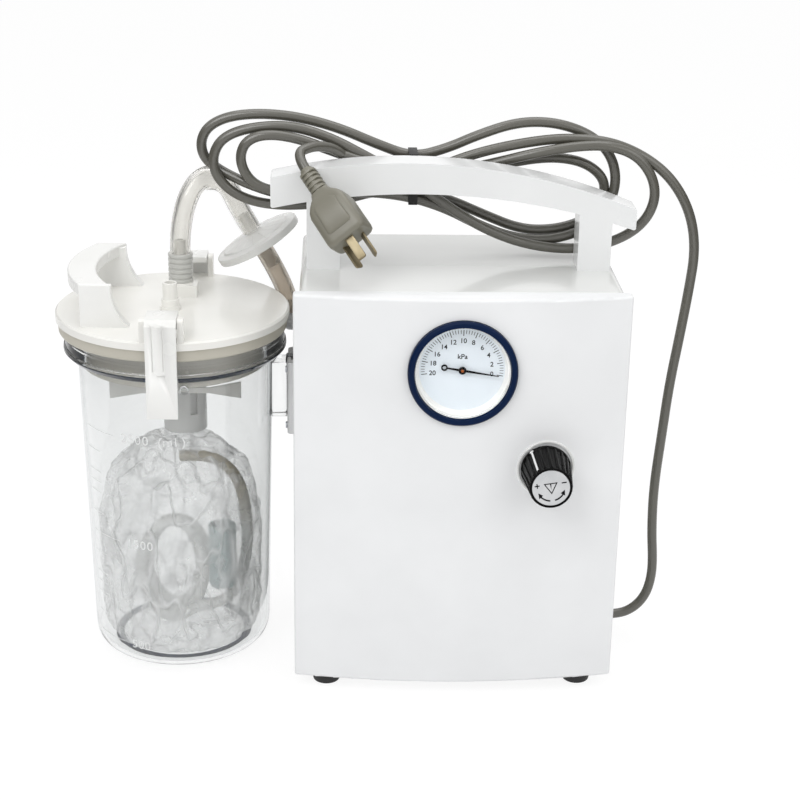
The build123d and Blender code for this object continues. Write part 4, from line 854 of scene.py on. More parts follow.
def tie_band():
    """A flat band round the crossing of the stored turns."""
    (x0, x1), (y0, y1), (z0, z1) = TIE_X, TIE_Y, TIE_Z
    bars = [brick(x0, x1, y0, y0 + TIE_THICK, z0, z1), brick(x0, x1, y1 - TIE_THICK, y1, z0, z1),
            brick(x0, x1, y0, y1, z1 - TIE_THICK, z1), brick(x0, x1, y0, y1, z0, z0 + TIE_THICK)]
    return bevelled(joined("tie", bars), 0.2, 2)


def gland():
    """The ringed strain relief where the cord leaves the case."""
    return turned("gland", [
        (0, -6, 0), (4.9, -6, 0.3), (4.9, 0, 0), (7.0, 0, 0.5), (7.0, 1.6, 0.4), (6.3, 1.9, 0),
        (6.6, 3.6, 0.4), (5.9, 3.9, 0), (6.2, 5.6, 0.4), (5.5, 5.9, 0), (5.8, 7.6, 0.4), (5.1, 7.9, 0),
        (5.2, 10, 0.4), (3.65, 10, 0), (3.65, 2, 0), (0, 2, 0)], facing(*GLAND_PLACE, (1, 0, 0)), 48)


class ASPIRATOR_OT_cords(bpy.types.Operator):
    """The mains cord with its stored turns, its tie, and the plug hung over the front of the handle"""
    bl_idname = "aspirator.cords"
    bl_label = "Mains cord and plug"

    def execute(self, context):
        points = CORD_DROP + CORD_TURNS + CORD_LEAD
        curve = spline_of("mains_cord", points, CORD_R)
        cord = bpy.data.objects.new("mains_cord", curve)
        context.scene.collection.objects.link(cord)
        curve.materials.append(MATERIALS["cord_grey"])
        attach(cord, "case")
        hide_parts("mains_cord_drop", "cord_hank", "mains_cord_lead")
        plug = piece("mains_plug_body", plug_body(), "case", "cord_grey", ("plug_body",), "plug_grey")
        pins = piece("mains_plug_blades", plug_blades(), "case", "blade_brass", ("plug_blades",))
        tie = piece("cord_tie_band", tie_band(), "case", "foot_black", ("cord_tie",))
        relief = piece("cord_strain_relief", gland(), "case", "foot_black", ("cord_gland",))
        round(length_of(path_of(points)), 3)
        return {"FINISHED"}


# Case

class ASPIRATOR_OT_case(bpy.types.Operator):
    """The bowed front panel, the two case covers and what is screwed to them"""
    bl_idname = "aspirator.case"
    bl_label = "Case"

    def execute(self, context):
        soft = context.scene.aspirator_sizes.edge_round
        bow_shading(piece("bowed_front_panel", node_copy("front_panel"), "case", "panel_white",
                          ("front_panel",), smooth=25))
        softened("case_front_cover", "front_cover", "case", "case_white", 0.5, 2)
        softened("case_rear_cover", "rear_cover", "case", "case_white", 0.5, 2)
        softened("handle_bar_and_posts", "carry_handle", "case", "handle_white", soft, 4)
        softened("jar_hanger_block", "jar_bracket", "case", "panel_white", 0.8)
        softened("fuse_cap", "fuse_holder", "case", "black_plastic", 0.4, 2)
        softened("switch_bezel", "switch_housing", "case", "black_plastic", 0.5, 2)
        softened("switch_rocker_cap", "switch_rocker", "power_rocker", "black_plastic", 0.4, 2)
        marks = letters([("I", 4.0, 0, math.pi / 2), ("O", -4.0, 0, math.pi / 2)], 4.2,
                        facing(111.9, 112, 62, (1, 0, 0), (0, 1, 0)), 0.25)
        piece("switch_marks", joined("marks", marks), "power_rocker", "black_plastic",
              finish_name="print_white", smooth=0)
        # Screws in the rear cover: pan heads with a cross recess
        head = turned("head", [(0, -11, 0), (2.0, -11, 0.3), (2.0, 0, 0), (4.0, 0, 0.2), (4.0, 1.0, 1.0),
                               (2.4, 2.3, 0.6), (0, 2.4, 0)], Matrix.Identity(4), 24)
        heads = repeat("case_screw_heads", cross_cut(head, 2.4), grid_tree,
                       {"Width": 194 * MM, "Depth": 250 * MM, "Columns": 2, "Rows": 3})
        heads.transform(facing(0, CASE_DEPTH, 155, (0, 1, 0), (1, 0, 0)))
        piece("case_screw_heads", heads, "case", "screw_steel", ("case_screws",))
        foot = turned("foot", [(2.1, 0.2, 0), (5.5, 5.0, 0.2), (5.5, 0.1, 0.4), (9.6, 0.0, 1.2),
                               (11.2, 10, 0.3), (2.1, 10, 0)], Matrix.Identity(4), 48)
        feet = repeat("rubber_feet_cups", foot, grid_tree,
                      {"Width": 184 * MM, "Depth": 121.5 * MM, "Columns": 2, "Rows": 2})
        feet.transform(upright(0, 75.25, 0))
        piece("rubber_feet_cups", feet, "case", "foot_black", ("rubber_feet",))
        return {"FINISHED"}


def bow_shading(made):
    """Gives the panel's bowed face the normals of its true arc, so that its long triangles don't show."""
    mesh = made.data
    low, bow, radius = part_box("front_panel")[0], PANEL_BOW * MM, BOW_RADIUS * MM
    given = [Vector(n.vector) for n in mesh.corner_normals]
    for face in mesh.polygons:
        if abs(face.normal.z) < 0.02 and face.normal.y < -0.9 and face.center.y < low.y + bow + 1.5 * MM:
            for corner in face.loop_indices:
                x = mesh.vertices[mesh.loops[corner].vertex_index].co.x - BENCH.x
                given[corner] = Vector((x, -math.sqrt(radius * radius - x * x), 0)).normalized()
    mesh.normals_split_custom_set([tuple(n) for n in given])


def cross_cut(mesh, top):
    """The head with a cross recess cut into it."""
    half, arm, low, high = 2.2, 0.4, top - 1.2, top + 1
    return cut_away(mesh, [small_box(-arm, arm, -half, half, low, high),
                           small_box(-half, half, -arm, arm, low, high)])


# Gauge

GAUGE_Z = 248.3
GAUGE_FRONT = -15.0
DIAL_Y = GAUGE_FRONT + 12.0
# The scale: 0 lies low on the right, and the numbers climb anticlockwise to 20 on the left
SCALE_START, SCALE_SWEEP, SCALE_NUMBERS = -9.4, 197.0, 11
TICK_RADIUS, NUMBER_RADIUS = 26.8, 20.4


class ASPIRATOR_OT_gauge(bpy.types.Operator):
    """The vacuum gauge: ring, well, dial print, pointer and lens"""
    bl_idname = "aspirator.gauge"
    bl_label = "Vacuum gauge"

    def execute(self, context):
        sizes = context.scene.aspirator_sizes
        front = facing_front(0, GAUGE_FRONT, GAUGE_Z)
        ring = turned("ring", [(32.5, -2.9, 0), (33.5, -2.9, 0), (33.5, -14.2, 0), (37.5, -14.2, 0),
                               (37.5, -1.6, 1.4), (36.2, 0, 0.8), (33.4, 0, 0.8)], front, 160)
        piece("gauge_navy_ring", ring, "case", "ring_navy", ("gauge_ring",))
        well = turned("well", [(32.2, -3.1, 0.3), (33.4, -3.1, 0.3), (33.4, -41, 0.4), (3.9, -41, 0),
                               (3.9, -54, 0.4), (0, -54, 0), (0, -39.8, 0), (32.2, -39.8, 0.4)], front, 128)
        piece("gauge_well", well, "case", "gauge_cream", ("gauge_case",))
        dial_face = facing_front(0, DIAL_Y, GAUGE_Z)
        plate = turned("dial", [(0.98, -1.0, 0), (32.1, -1.0, 0), (32.1, 0, 0.2), (0.98, 0, 0)],
                       dial_face, 128)
        step = turned("step", [(29.3, 0, 0), (32.2, 0, 0), (32.2, 4.6, 0.4), (31.0, 4.6, 0.6)],
                      dial_face, 128)
        piece("gauge_dial_plate", plate, "case", "dial_pale", ("gauge_dial",))
        piece("gauge_inner_step", step, "case", "gauge_cream")
        between = SCALE_SWEEP / (SCALE_NUMBERS - 1)
        fine = round_copies("fine", small_box(-1.3, 1.3, -0.17, 0.17, 0, 0.06), dial_face,
                            sizes.gauge_ticks + 1, TICK_RADIUS, SCALE_START, SCALE_SWEEP / sizes.gauge_ticks)
        coarse = round_copies("coarse", small_box(-2.8, 1.3, -0.24, 0.24, 0, 0.07), dial_face, SCALE_NUMBERS,
                              TICK_RADIUS, SCALE_START, between)
        words = []
        for i in range(SCALE_NUMBERS):
            turn = math.radians(SCALE_START + i * between)
            words.append((str(2 * i), NUMBER_RADIUS * math.cos(turn), NUMBER_RADIUS * math.sin(turn), 0.0))
        numbers = letters(words, 4.7, dial_face, bold=0.07)
        unit = letters([("kPa", 0, 9.1, 0)], 4.9, dial_face, bold=0.07)
        piece("gauge_dial_print", joined("print", [fine, coarse, *numbers, *unit]), "case", "dial_pale",
              finish_name="print_black", smooth=0)
        tilt = dial_face @ Matrix.Rotation(math.radians(SCALE_START), 4, "Z")
        blade = flat_shape([(-10.4, -0.5), (0, -0.9), (25, -0.28), (25.6, 0), (25, 0.28), (0, 0.9),
                            (-10.4, 0.5)], tilt @ Matrix.Translation((0, 0, 2.0 * MM)), 0.6)
        tail = turned("tail", [(1.2, 2.0, 0), (2.3, 2.0, 0), (2.3, 2.6, 0.1), (1.2, 2.6, 0.1)],
                      tilt @ Matrix.Translation((-12.4 * MM, 0, 0)), 32)
        hub = turned("hub", [(0, -6.4, 0), (0.88, -6.4, 0), (0.88, 1.9, 0), (2.7, 1.9, 0), (2.7, 3.2, 0.5),
                             (0, 3.3, 0)], tilt, 32)
        piece("gauge_needle", joined("needle", [bevelled(blade, 0.1, 2), tail, hub]), "pointer",
              "black_plastic", ("gauge_pointer",))
        pin = turned("pin", [(0, 3.2, 0), (1.0, 3.2, 0), (1.0, 3.7, 0.2), (0, 3.75, 0)], tilt, 24)
        piece("gauge_needle_pin", pin, "pointer", "black_plastic", finish_name="coil_copper")
        window = turned("window", [(0, -4.5, 0), (32.1, -4.5, 0.2), (32.1, -3.0, 0.3), (0, -3.0, 0)],
                        front, 96)
        piece("gauge_window", window, "case", "lens_clear", ("gauge_lens",))
        return {"FINISHED"}


# Knob

KNOB = (59.6, 177.8)
KNOB_FACE = -43.0
SKIRT_WIDE, SKIRT_NARROW = 16.6, 13.9     # the skirt's radii at its back and its front
SKIRT_BACK, SKIRT_FRONT = 3.2, 1.2        # where they lie, from the back and from the front
INK = 0.07     # how far print stands up


def round_points(radii_and_turns, up=0.0):
    """Points of a plane from radii and turns in radians, moved up."""
    return [(r * math.cos(turn), r * math.sin(turn) + up) for r, turn in radii_and_turns]


def knob_print(face):
    """The cap's print: a plain triangle, plus and minus, and two curved arrows, joined as one mesh."""
    marks = []
    for k in range(3):
        a, b = math.radians(-90 + 120 * k), math.radians(30 + 120 * k)
        marks.append(flat_shape(round_points(((5.5, a), (5.5, b), (4.2, b), (4.2, a)), 0.9), face, INK))
    marks.append(flat_shape([(-0.45, 3.0), (0.45, 3.0), (0.0, -1.6)], face, INK))
    marks += letters([("+", -9.2, 2.4, 0), ("−", 9.2, 2.4, 0)], 6.6, face, bold=0.12)
    for side in (-1, 1):
        turns = [math.radians(270 + side * a) for a in range(10, 58, 4)]
        band = round_points([(9.9, t) for t in turns] + [(8.9, t) for t in reversed(turns)])
        marks.append(flat_shape(band if side > 0 else band[::-1], face, INK))
        tip, base = math.radians(270 + side * 74), math.radians(270 + side * 52)
        marks.append(flat_shape(round_points(((9.4, tip), (11.2, base), (7.6, base))), face, INK))
    return joined("print", marks)


class ASPIRATOR_OT_knob(bpy.types.Operator):
    """The regulator knob: tapered skirt with ribs, silver cap with its print, index line and dot"""
    bl_idname = "aspirator.knob"
    bl_label = "Regulator knob"

    def execute(self, context):
        sizes = context.scene.aspirator_sizes
        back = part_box("knob_skirt")[1].y
        depth = (back - spot(0, KNOB_FACE, 0).y) / MM
        place = (Matrix.Translation((spot(KNOB[0], 0, 0).x, back, KNOB[1] * MM))
                 @ Matrix.Rotation(math.pi / 2, 4, "X"))
        skirt = turned("skirt", [
            (3.02, 0, 0), (17.6, 0, 0.4), (17.6, 2.4, 0.5), (SKIRT_WIDE, SKIRT_BACK, 0.3),
            (SKIRT_NARROW, depth - SKIRT_FRONT, 0.4), (14.75, depth - 1.0, 0.3), (14.6, depth, 0.5),
            (13.02, depth, 0.2), (13.02, depth - 1.6, 0), (3.02, depth - 1.6, 0)], place, 120)
        slope = math.atan((SKIRT_WIDE - SKIRT_NARROW) / (depth - SKIRT_BACK - SKIRT_FRONT))
        rib = bevelled(small_box(-1.6, 0.95, -1.05, 1.05, 0, depth - 4.2), 0.7, 3)
        rib.transform(Matrix.Rotation(-slope, 4, "Y"))
        ribs = round_copies("ribs", rib, place @ Matrix.Translation((0, 0, 2.6 * MM)), sizes.knob_ribs,
                            16.75, 0, 360 / sizes.knob_ribs)
        piece("regulator_knob_skirt", joined("skirt", [skirt, ribs]), "pressure_knob", "black_plastic",
              ("knob_skirt",))
        face = place @ Matrix.Translation((0, 0, depth * MM))
        cap = turned("cap", [(0, -1.6, 0), (12.9, -1.6, 0), (12.9, -0.1, 0.3), (0, 0.0, 0)], face, 96)
        piece("regulator_knob_cap", cap, "pressure_knob", "cap_silver", ("knob_cap",))
        piece("regulator_knob_print", knob_print(face @ Matrix.Rotation(math.radians(9), 4, "Z")),
              "pressure_knob", "cap_silver", finish_name="print_black", smooth=0)
        # A bright ring on the panel round the skirt
        lean = math.asin(KNOB[0] / BOW_RADIUS)
        face_y = BOW_RADIUS - PANEL_BOW - math.sqrt(BOW_RADIUS ** 2 - KNOB[0] ** 2)
        ring = turned("ring", [(18.6, -0.4, 0), (20.4, -0.4, 0), (20.4, 0.7, 0.4), (19.9, 1.1, 0.3),
                               (18.9, 1.1, 0.3), (18.6, 0.8, 0.2)],
                      facing(KNOB[0], face_y, KNOB[1], (math.sin(lean), -math.cos(lean), 0)))
        piece("regulator_knob_ring", ring, "case", "case_white")
        turn = place @ Matrix.Rotation(math.radians(128), 4, "Z")
        line = small_box(-0.3, 0.3, -0.7, 0.7, 4, depth - 3)
        line.transform(turn @ Matrix.Translation((17.65 * MM, 0, 0)) @ Matrix.Rotation(-slope, 4, "Y"))
        dot_place = turn @ Matrix.Translation((17.45 * MM, 0, 3.0 * MM)) @ Matrix.Rotation(math.pi / 2, 4, "Y")
        dot = turned("dot", [(0, 0, 0), (1.5, 0, 0), (1.5, 0.4, 0.1), (0, 0.4, 0)], dot_place, 24)
        piece("regulator_index_line", joined("index", [line, dot]), "pressure_knob", "black_plastic",
              finish_name="print_white")
        return {"FINISHED"}


# Jar

JAR = (-201.5, 80.0)
LID_X = -202.7
JAR_FOOT, JAR_WALL = 5.0, 2.6
JAR_LOW_R, JAR_TOP_R, JAR_WALL_TALL = 65.3, 70.3, 230.0
LUG_LOW, LUG_TOP, LUG_FACE = 184.3, 226.5, -121.3
BUMP_ASIDE, BUMP_R = 11.0, 70.0     # how far the moulded bump stands beside the middle, and at what radius
FIRST_MARK, MARKS = 24.0, 21     # height of the 500 ml mark, and how many steps of 100 ml there are with it


def jar_wall_r(z):
    """The outer radius of the jar's slightly tapered wall at a height."""
    return JAR_LOW_R + (JAR_TOP_R - JAR_LOW_R) * (z - JAR_FOOT) / JAR_WALL_TALL


def graduations(pitch):
    """White marks round the jar: lines each 200 ml and 500 ml, and numbers at 500, 1500 and 2500 ml."""
    marks = []
    for i in range(MARKS):
        if i % 2 and i % 5:
            continue
        z = FIRST_MARK + i * pitch * 2
        numbered = i % 10 == 0
        r = jar_wall_r(z) + 0.06
        for k in range(8 if numbered else 4):
            turn = math.radians(210 + 3.2 * k)
            mark = small_box(0, 0.08, -1.98, 1.98, -0.22, 0.22)
            mark.transform(upright(JAR[0] + r * math.cos(turn), JAR[1] + r * math.sin(turn), z)
                           @ Matrix.Rotation(turn, 4, "Z"))
            marks.append(mark)
        if numbered:
            text = str(500 + i * 100) + ("(ml)" if i == MARKS - 1 else "")
            for n, letter in enumerate(text):
                turn = math.radians(242 + n * 4.6 + (4 if n >= 4 else 0))
                place = (upright(JAR[0] + r * math.cos(turn), JAR[1] + r * math.sin(turn), z)
                         @ Matrix.Rotation(turn + math.pi / 2, 4, "Z") @ Matrix.Rotation(math.pi / 2, 4, "X"))
                marks += letters([(letter, 0, 0, 0)], 9.5, place, 0.12)
    return joined("marks", marks)


class ASPIRATOR_OT_jar(bpy.types.Operator):
    """The clear collecting jar with its flanged rim, hanging lug and graduations"""
    bl_idname = "aspirator.jar"
    bl_label = "Collecting jar"

    def execute(self, context):
        vessel = turned("vessel", [
            (0, JAR_FOOT, 0), (JAR_LOW_R, JAR_FOOT, 16), (70.2, 232.5, 2.5), (76.2, 235, 0.6),
            (79.6, 238.4, 0.8), (79.6, 241, 0.8), (78.4, 241.2, 0.4), (78.4, 251, 0.8), (67.7, 251, 0.8),
            (67.7, 235, 0), (JAR_LOW_R - JAR_WALL, 7.6, 13.4), (0, 7.6, 0)], upright(*JAR, 0), 160)
        # The lug: a root on the wall, a neck, and a plate that hangs in the bracket
        root = JAR[0] + jar_wall_r(184.0) - 0.4     # a little inside the wall
        y = JAR[1]
        lug = [brick(root, LUG_FACE, y - 10, y + 10, LUG_LOW, LUG_TOP, 1.2),
               brick(LUG_FACE - 1.0, -116.7, y - 4, y + 4, LUG_LOW, LUG_TOP),
               brick(-117.7, -113.7, y - 10, y + 10, LUG_LOW, LUG_TOP, 0.8)]
        bump = turned("bump", [(0, 0, 0), (3.6, 0, 0.6), (3.0, 2.6, 1.0), (0, 2.8, 0)],
                      facing(JAR[0] + BUMP_ASIDE, y - math.sqrt(BUMP_R ** 2 - BUMP_ASIDE ** 2) + 0.6, 227,
                             (0.157, -0.988, 0)), 32)
        piece("collecting_jar", joined("jar", [vessel, *lug, bump]), "jar", "jar_clear", ("jar_vessel",))
        # Painted shade: thin dark bluish rings inside the flange and round the heel, for the dark lines that
        # the clear rim and base show
        edge = turned("edge", [(76.8, 235.1, 0), (79.7, 238.3, 0), (79.7, 239.2, 0), (76.6, 235.9, 0)],
                      upright(*JAR, 0), 160)
        heel = turned("heel", [(45.5, 7.66, 0), (49.4, 7.66, 0), (51.6, 8.3, 0.2), (51.2, 8.7, 0.2),
                               (45.5, 8.2, 0)], upright(*JAR, 0), 160)
        piece("jar_flange_and_heel_painted_shade", joined("edge", [edge, heel]), "jar", "jar_clear", finish_name="edge_painted_shade")
        piece("jar_graduations", graduations(context.scene.aspirator_sizes.jar_tick_pitch), "jar",
              "jar_clear", finish_name="print_white", smooth=0)
        return {"FINISHED"}


# Stored hose

SPARE_R, SPARE_BORE_R = 4.2, 2.9
SPARE_TURNS, SPARE_PER_TURN = 3, 14
FREE_END = [(-199, 64, 158), (-184, 62, 160), (-170, 62, 155), (-159, 62, 143), (-154, 62, 126),
            (-152, 63, 106), (-152, 65, 84), (-156, 68, 60), (-166, 71, 36)]


def film_bag():
    """The bag: a rounded filling shape whose skin is drawn in along its folds."""
    base = turned("bag", [(0, 8.4, 0), (43, 8.4, 6), (55, 14.6, 6), (60.5, 30, 10), (61, 108, 14),
                          (52, 146, 12), (30, 166, 8), (0, 167, 0)], upright(*JAR, 0), 160)
    form = bmesh.new()
    form.from_mesh(base)
    bmesh.ops.subdivide_edges(form, edges=[e for e in form.edges if e.calc_length() > 8 * MM], cuts=10,
                              use_grid_fill=True)
    axis = spot(*JAR, 0)
    for v in form.verts:
        out = Vector((v.co.x - axis.x, v.co.y - axis.y, 0))
        radius = out.length
        fold = noise.noise(v.co * 55) * 0.6 + noise.noise(v.co * 120 + Vector((3, 1, 2))) * 0.35
        share = min(1.0, radius / 0.03)
        pull = (abs(fold) * 9 + 0.6) * MM * share
        if radius > 1e-5:
            v.co -= out.normalized() * min(pull, radius * 0.5)
        if v.co.z > 0.140:
            v.co.z -= abs(noise.noise(v.co * 90)) * 7 * MM
    bmesh.ops.recalc_face_normals(form, faces=form.faces)
    return to_mesh(form, "bag")


def spare_hose_points():
    """The free end arches over the coil, whose turns stand on edge and differ a little."""
    centre = Vector((JAR[0] - 6, JAR[1] + 4, 60.0))
    points = list(FREE_END)
    for i in range(SPARE_TURNS * SPARE_PER_TURN + 1):
        t = i / SPARE_PER_TURN
        layer = -12.6 + 8.7 * t
        wide, tall = 22 + 2.6 * math.sin(2.4 * t + 0.6), 38 + 3.0 * math.sin(1.9 * t + 0.2)
        a = -2 * math.pi * t - 0.9
        points.append((centre.x + wide * math.cos(a), centre.y + layer, centre.z + tall * math.sin(a)))
    return points


class ASPIRATOR_OT_stored(bpy.types.Operator):
    """What is stored in the jar: a film bag round the coiled spare hose and its sleeve"""
    bl_idname = "aspirator.stored"
    bl_label = "Stored hose in its bag"

    def execute(self, context):
        piece("accessory_film_bag", film_bag(), "jar", "film_clear", ("accessory_bag",), smooth=180)
        path = path_of(spare_hose_points())
        hose = piece("spare_suction_hose", hollow_tube("hose", path, SPARE_R, SPARE_BORE_R, 16), "jar",
                     "hose_clear", ("suction_hose_coil",), "hose_stored_painted_shade")
        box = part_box("hose_connector")
        middle = (box[0] + box[1]) / 2
        place = Matrix.Translation((middle.x, middle.y, box[0].z))
        sleeve = turned("sleeve", [(0, 10, 0), (0, 0, 0), (8.6, 0, 0.8), (9.9, 3, 0.6), (9.9, 30, 0),
                                   (9.3, 31, 0.3), (9.9, 32, 0.3), (9.9, 49, 0.8), (8, 49.8, 0.4),
                                   (8, 10, 0)], place, 64)
        sleeve = piece("hose_sleeve", sleeve, "jar", "sleeve_green", ("hose_connector",))
        return {"FINISHED"}


# Lid

SLIT_LOW, GROOVE_Z = 0.2475, (0.2435, 0.2442)     # heights on the clips' straps, in metres


def clip_solid(node, body, name):
    """A snap clip with the two slits and the short groove of its strap."""
    low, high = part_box(node)
    middle = (low.x + high.x) / 2
    face = low.y if node == "clip_front" else high.y
    cutters = []
    for x, wide, z0, z1 in ((-5.6, 0.6, SLIT_LOW, high.z + 0.001), (1.6, 0.6, SLIT_LOW, high.z + 0.001),
                            (0.0, 5.2, *GROOVE_Z)):
        half = Vector((wide / 2, 0.65, 0)) * MM
        cutters.append(box_between(Vector((middle + x * MM, face, z0)) - half,
                                   Vector((middle + x * MM, face, z1)) + half))
    mesh = cut_away(bevelled(node_copy(node), 0.9, 3), cutters)
    return piece(name, mesh, body, "clip_white", (node,))


class ASPIRATOR_OT_lid(bpy.types.Operator):
    """The lid with its gasket, grip, ports, float cut-off and two snap clips"""
    bl_idname = "aspirator.lid"
    bl_label = "Jar lid"

    def execute(self, context):
        softened("jar_lid", "lid_cover", "lid", "lid_white", 0.7, 3)
        softened("lid_grip", "lid_handle", "lid", "clip_white", 1.0, 3)
        seal = turned("seal", [(70, 251.3, 0), (80.6, 251.3, 0.6), (81.4, 252.5, 0.8), (81.4, 259.9, 0.8),
                               (70, 259.98, 0)], upright(LID_X, JAR[1], 0), 160)
        piece("lid_seal", seal, "lid", "seal_beige", ("lid_gasket",))
        clip_solid("clip_front", "front_clip", "snap_clip_front")
        clip_solid("clip_back", "back_clip", "snap_clip_back")
        keep("clip_pins", "screw_steel")
        # Ribbed connector on the vacuum port
        corners = [(2.4, 276.1, 0), (9.0, 276.1, 0.4)]
        for i in range(5):
            z = 278.0 + i * 3.8
            corners += [(9.0, z, 0.3), (8.1, z + 0.5, 0.3), (8.1, z + 1.2, 0.3), (9.0, z + 1.7, 0.3)]
        corners += [(9.0, 297, 0.8), (4.08, 297, 0), (4.08, 306.8, 0.4), (2.4, 306.8, 0)]
        piece("vacuum_port_connector", turned("connector", corners, upright(-199, 109, 0), 64), "lid",
              "connector_grey", ("vacuum_connector",))
        low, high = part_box("patient_port")
        middle = (low + high) / 2
        place = Matrix.Translation((middle.x, middle.y, low.z))
        tall = (high.z - low.z) / MM
        stub = [(3.6, 0, 0), (6.3, 0, 0), (6.3, tall - 12, 0.4), (5.2, tall - 12, 0), (5.2, tall, 0.6),
                (3.6, tall, 0.4)]
        piece("patient_port_stub", turned("stub", stub, place, 48), "lid", "lid_white", ("patient_port",))
        # Skirt inside the jar's mouth, a pale beige translucent sleeve that puts painted shade on the jar's
        # neck under the lid, and the splash guard across the float's cage
        skirt = turned("skirt", [(63.8, 227, 0.5), (65.2, 227, 0.5), (65.2, 259.4, 0), (63.8, 259.4, 0)],
                       upright(LID_X + 0.6, JAR[1], 0), 128)
        piece("lid_inner_skirt_painted_shade", skirt, "lid", "lid_white", finish_name="collar_painted_shade")
        guard = flat_shape([(-46.5, -6.5), (-24, -2.2), (24, -2.2), (46.5, -6.5), (46.5, 6.5), (24, 2.2),
                            (-24, 2.2), (-46.5, 6.5)], facing_front(LID_X + 1.5, 64.4, 209.5), 1.6)
        piece("lid_splash_guard", bevelled(guard, 0.4, 2), "lid", "lid_white", smooth=0)
        softened("float_cage_body", "float_cage", "lid", "filter_milky", 0.3, 2)
        softened("float_ball_body", "cutoff_float", "float", "filter_milky", 0.3, 2)
        return {"FINISHED"}


# Hoses and filter

UPPER_R, UPPER_BORE_R = 7.4, 5.2
LOWER_R, LOWER_BORE_R = 6.9, 4.15
HOSE_START, HOSE_BEND = 8.5, 26.5     # distances from the filter's middle, along its axis
PORT_X, PORT_TIP_Z = -120.5, 246.4
FILTER = Vector((-143.7, 131.0, 301.0))
FILTER_LEAN = math.radians(30.3)
FILTER_AXIS = Vector((-math.sin(FILTER_LEAN), 0.0, math.cos(FILTER_LEAN)))


def kink(share):
    """How much of the upper hose's height is left along it: it is pinched at the top of its bend."""
    return 1.0 - 0.34 * math.exp(-((share - 0.47) / 0.09) ** 2)


class ASPIRATOR_OT_hoses(bpy.types.Operator):
    """The clear hoses, the disc filter between them and the port on the case"""
    bl_idname = "aspirator.hoses"
    bl_label = "Hoses and filter"

    def execute(self, context):
        place = facing(*FILTER, FILTER_AXIS)
        half = [(10, 6.4, 0.8), (26, 4.4, 0.6), (27.5, 3.4, 0.5), (33, 2.6, 0.8)]
        disc = turned("disc", [(2.4, -22.4, 0.3), (4.0, -22.4, 0.4), (4.0, -7.5, 0.6),
                               *((r, -z, fillet) for r, z, fillet in half), *reversed(half),
                               (4.0, 7.5, 0.6), (4.0, 22.4, 0.4), (2.4, 22.4, 0.3)], place, 128)
        count = context.scene.aspirator_sizes.filter_ribs
        ribs = []
        for side in (1, -1):
            rib = bevelled(small_box(-7.5, 8.5, -0.45, 0.45, 3.6, 5.5), 0.2, 2)
            rib.transform(Matrix.Rotation(math.radians(7), 4, "Y"))
            way = place if side > 0 else place @ Matrix.Rotation(math.pi, 4, "X")
            ribs.append(round_copies("ribs", rib, way, count, 17.5, 0, 360 / count))
        piece("hydrophobic_filter", joined("filter", [disc, *ribs]), "lid", "filter_milky",
              ("filter_housing",))
        over, near = FILTER + FILTER_AXIS * HOSE_BEND, FILTER + FILTER_AXIS * HOSE_START
        points = [(-199, 109, 297.1), (-199, 109, 321), (-186.5, 117, 352), (-166.5, 127, 346.5), tuple(over),
                  tuple(near)]
        path = path_of(points)
        hose = piece("upper_hose", hollow_tube("hose", path, UPPER_R, UPPER_BORE_R, 32, kink), "lid",
                     "hose_clear", ("hose_upper",))
        reach = (PORT_X - FILTER.x) / math.sin(FILTER_LEAN)
        corner = FILTER - FILTER_AXIS * reach
        points = [tuple(FILTER - FILTER_AXIS * HOSE_START), tuple(corner), (PORT_X, FILTER.y, PORT_TIP_Z)]
        piece("lower_hose", hollow_tube("hose", path_of(points), LOWER_R, LOWER_BORE_R, 32), "lid",
              "hose_clear", ("hose_lower",), "hose_tan_painted_shade")
        softened("case_side_port", "side_port", "case", "panel_white", 0.3, 2)
        return {"FINISHED"}


# Works

class ASPIRATOR_OT_works(bpy.types.Operator):
    """What is inside the case and behind the louvres, in its real finishes"""
    bl_idname = "aspirator.works"
    bl_label = "Works inside the case"

    def execute(self, context):
        slots = record_slots()
        for node, obj in frame["nodes"].items():
            if not obj.hide_render:
                keep(node, slots[node])
        return {"FINISHED"}


def record_slots():
    """The material slot of each node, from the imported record."""
    found = {}
    for part in frame["record"]["subparts"]:
        found[part["node"] if "node" in part else part["name"]] = part["material_slot"]
    return found


# Sidebar and start

class AspiratorSizes(bpy.types.PropertyGroup):
    """The sizes that a user would change"""
    edge_round: FloatProperty(name="Handle edge", default=0.9, min=0.2, max=3.0,
                              description="Rounding of the carry handle's edges, in millimetres")
    gauge_ticks: IntProperty(name="Gauge ticks", default=50, description="Fine divisions of the scale")
    knob_ribs: IntProperty(name="Knob ribs", description="Ribs round the regulator knob", default=20)
    filter_ribs: IntProperty(name="Filter ribs", default=16, description="Ribs on each face of the filter")
    jar_tick_pitch: FloatProperty(name="Jar tick pitch", default=4.1,
                                  description="Height of 50 ml in the jar, in millimetres")


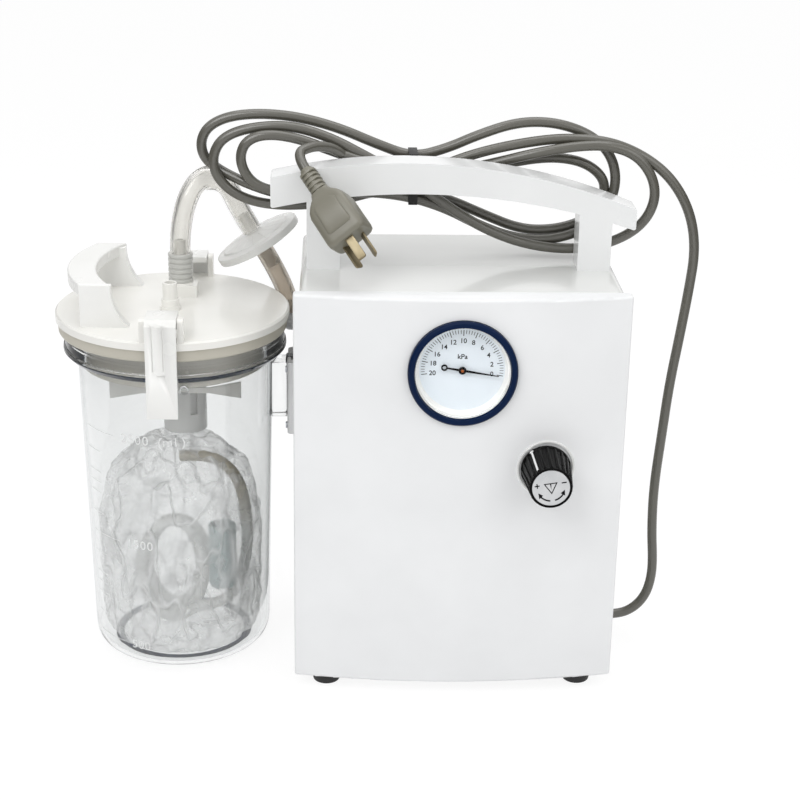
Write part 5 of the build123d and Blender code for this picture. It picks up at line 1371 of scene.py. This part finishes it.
class AspiratorColours(bpy.types.PropertyGroup):
    """The colours that a user would change"""
    case_white: FloatVectorProperty(name="Panel white", description="Colour of the front panel, as sRGB",
                                    subtype="COLOR_GAMMA", size=3, default=(0.957, 0.961, 0.965), min=0, max=1)
    ring_navy: FloatVectorProperty(name="Ring navy", description="Colour of the gauge's ring, as sRGB",
                                   subtype="COLOR_GAMMA", size=3, default=(0.0, 0.105, 0.25), min=0, max=1)
    cord_grey: FloatVectorProperty(name="Cord grey", description="Colour of the mains cord and plug, as sRGB",
                                   subtype="COLOR_GAMMA", size=3, default=(0.345, 0.338, 0.308), min=0, max=1)


OPERATORS = (ASPIRATOR_OT_stage, ASPIRATOR_OT_cords, ASPIRATOR_OT_case, ASPIRATOR_OT_gauge, ASPIRATOR_OT_knob,
             ASPIRATOR_OT_jar, ASPIRATOR_OT_stored, ASPIRATOR_OT_lid, ASPIRATOR_OT_hoses, ASPIRATOR_OT_works)


class ASPIRATOR_PT_pieces(bpy.types.Panel):
    """Lists the operators and the sizes and colours of the aspirator"""
    bl_label = "Vacuum aspirator"
    bl_space_type = "VIEW_3D"
    bl_region_type = "UI"
    bl_category = "Aspirator"

    def draw(self, context):
        for group in (context.scene.aspirator_sizes, context.scene.aspirator_colours):
            for key in group.bl_rna.properties.keys():
                if key not in ("rna_type", "name"):
                    self.layout.prop(group, key)
        for operator in OPERATORS:
            self.layout.operator(operator.bl_idname)


CLASSES = (AspiratorSizes, AspiratorColours, *OPERATORS, ASPIRATOR_PT_pieces)


def register():
    """Adds the classes, and gives the scene its sizes and colours."""
    for kind in CLASSES:
        bpy.utils.register_class(kind)
    bpy.types.Scene.aspirator_sizes = PointerProperty(type=AspiratorSizes)
    bpy.types.Scene.aspirator_colours = PointerProperty(type=AspiratorColours)


def unregister():
    """Takes the sizes, the colours and the classes away again."""
    del bpy.types.Scene.aspirator_colours
    del bpy.types.Scene.aspirator_sizes
    for kind in reversed(CLASSES):
        bpy.utils.unregister_class(kind)


def main():
    """Builds everything in order."""
    register()
    make_materials()
    for operator in OPERATORS:
        getattr(bpy.ops.aspirator, operator.bl_idname.split(".")[1])()


if __name__ == "__main__":
    main()
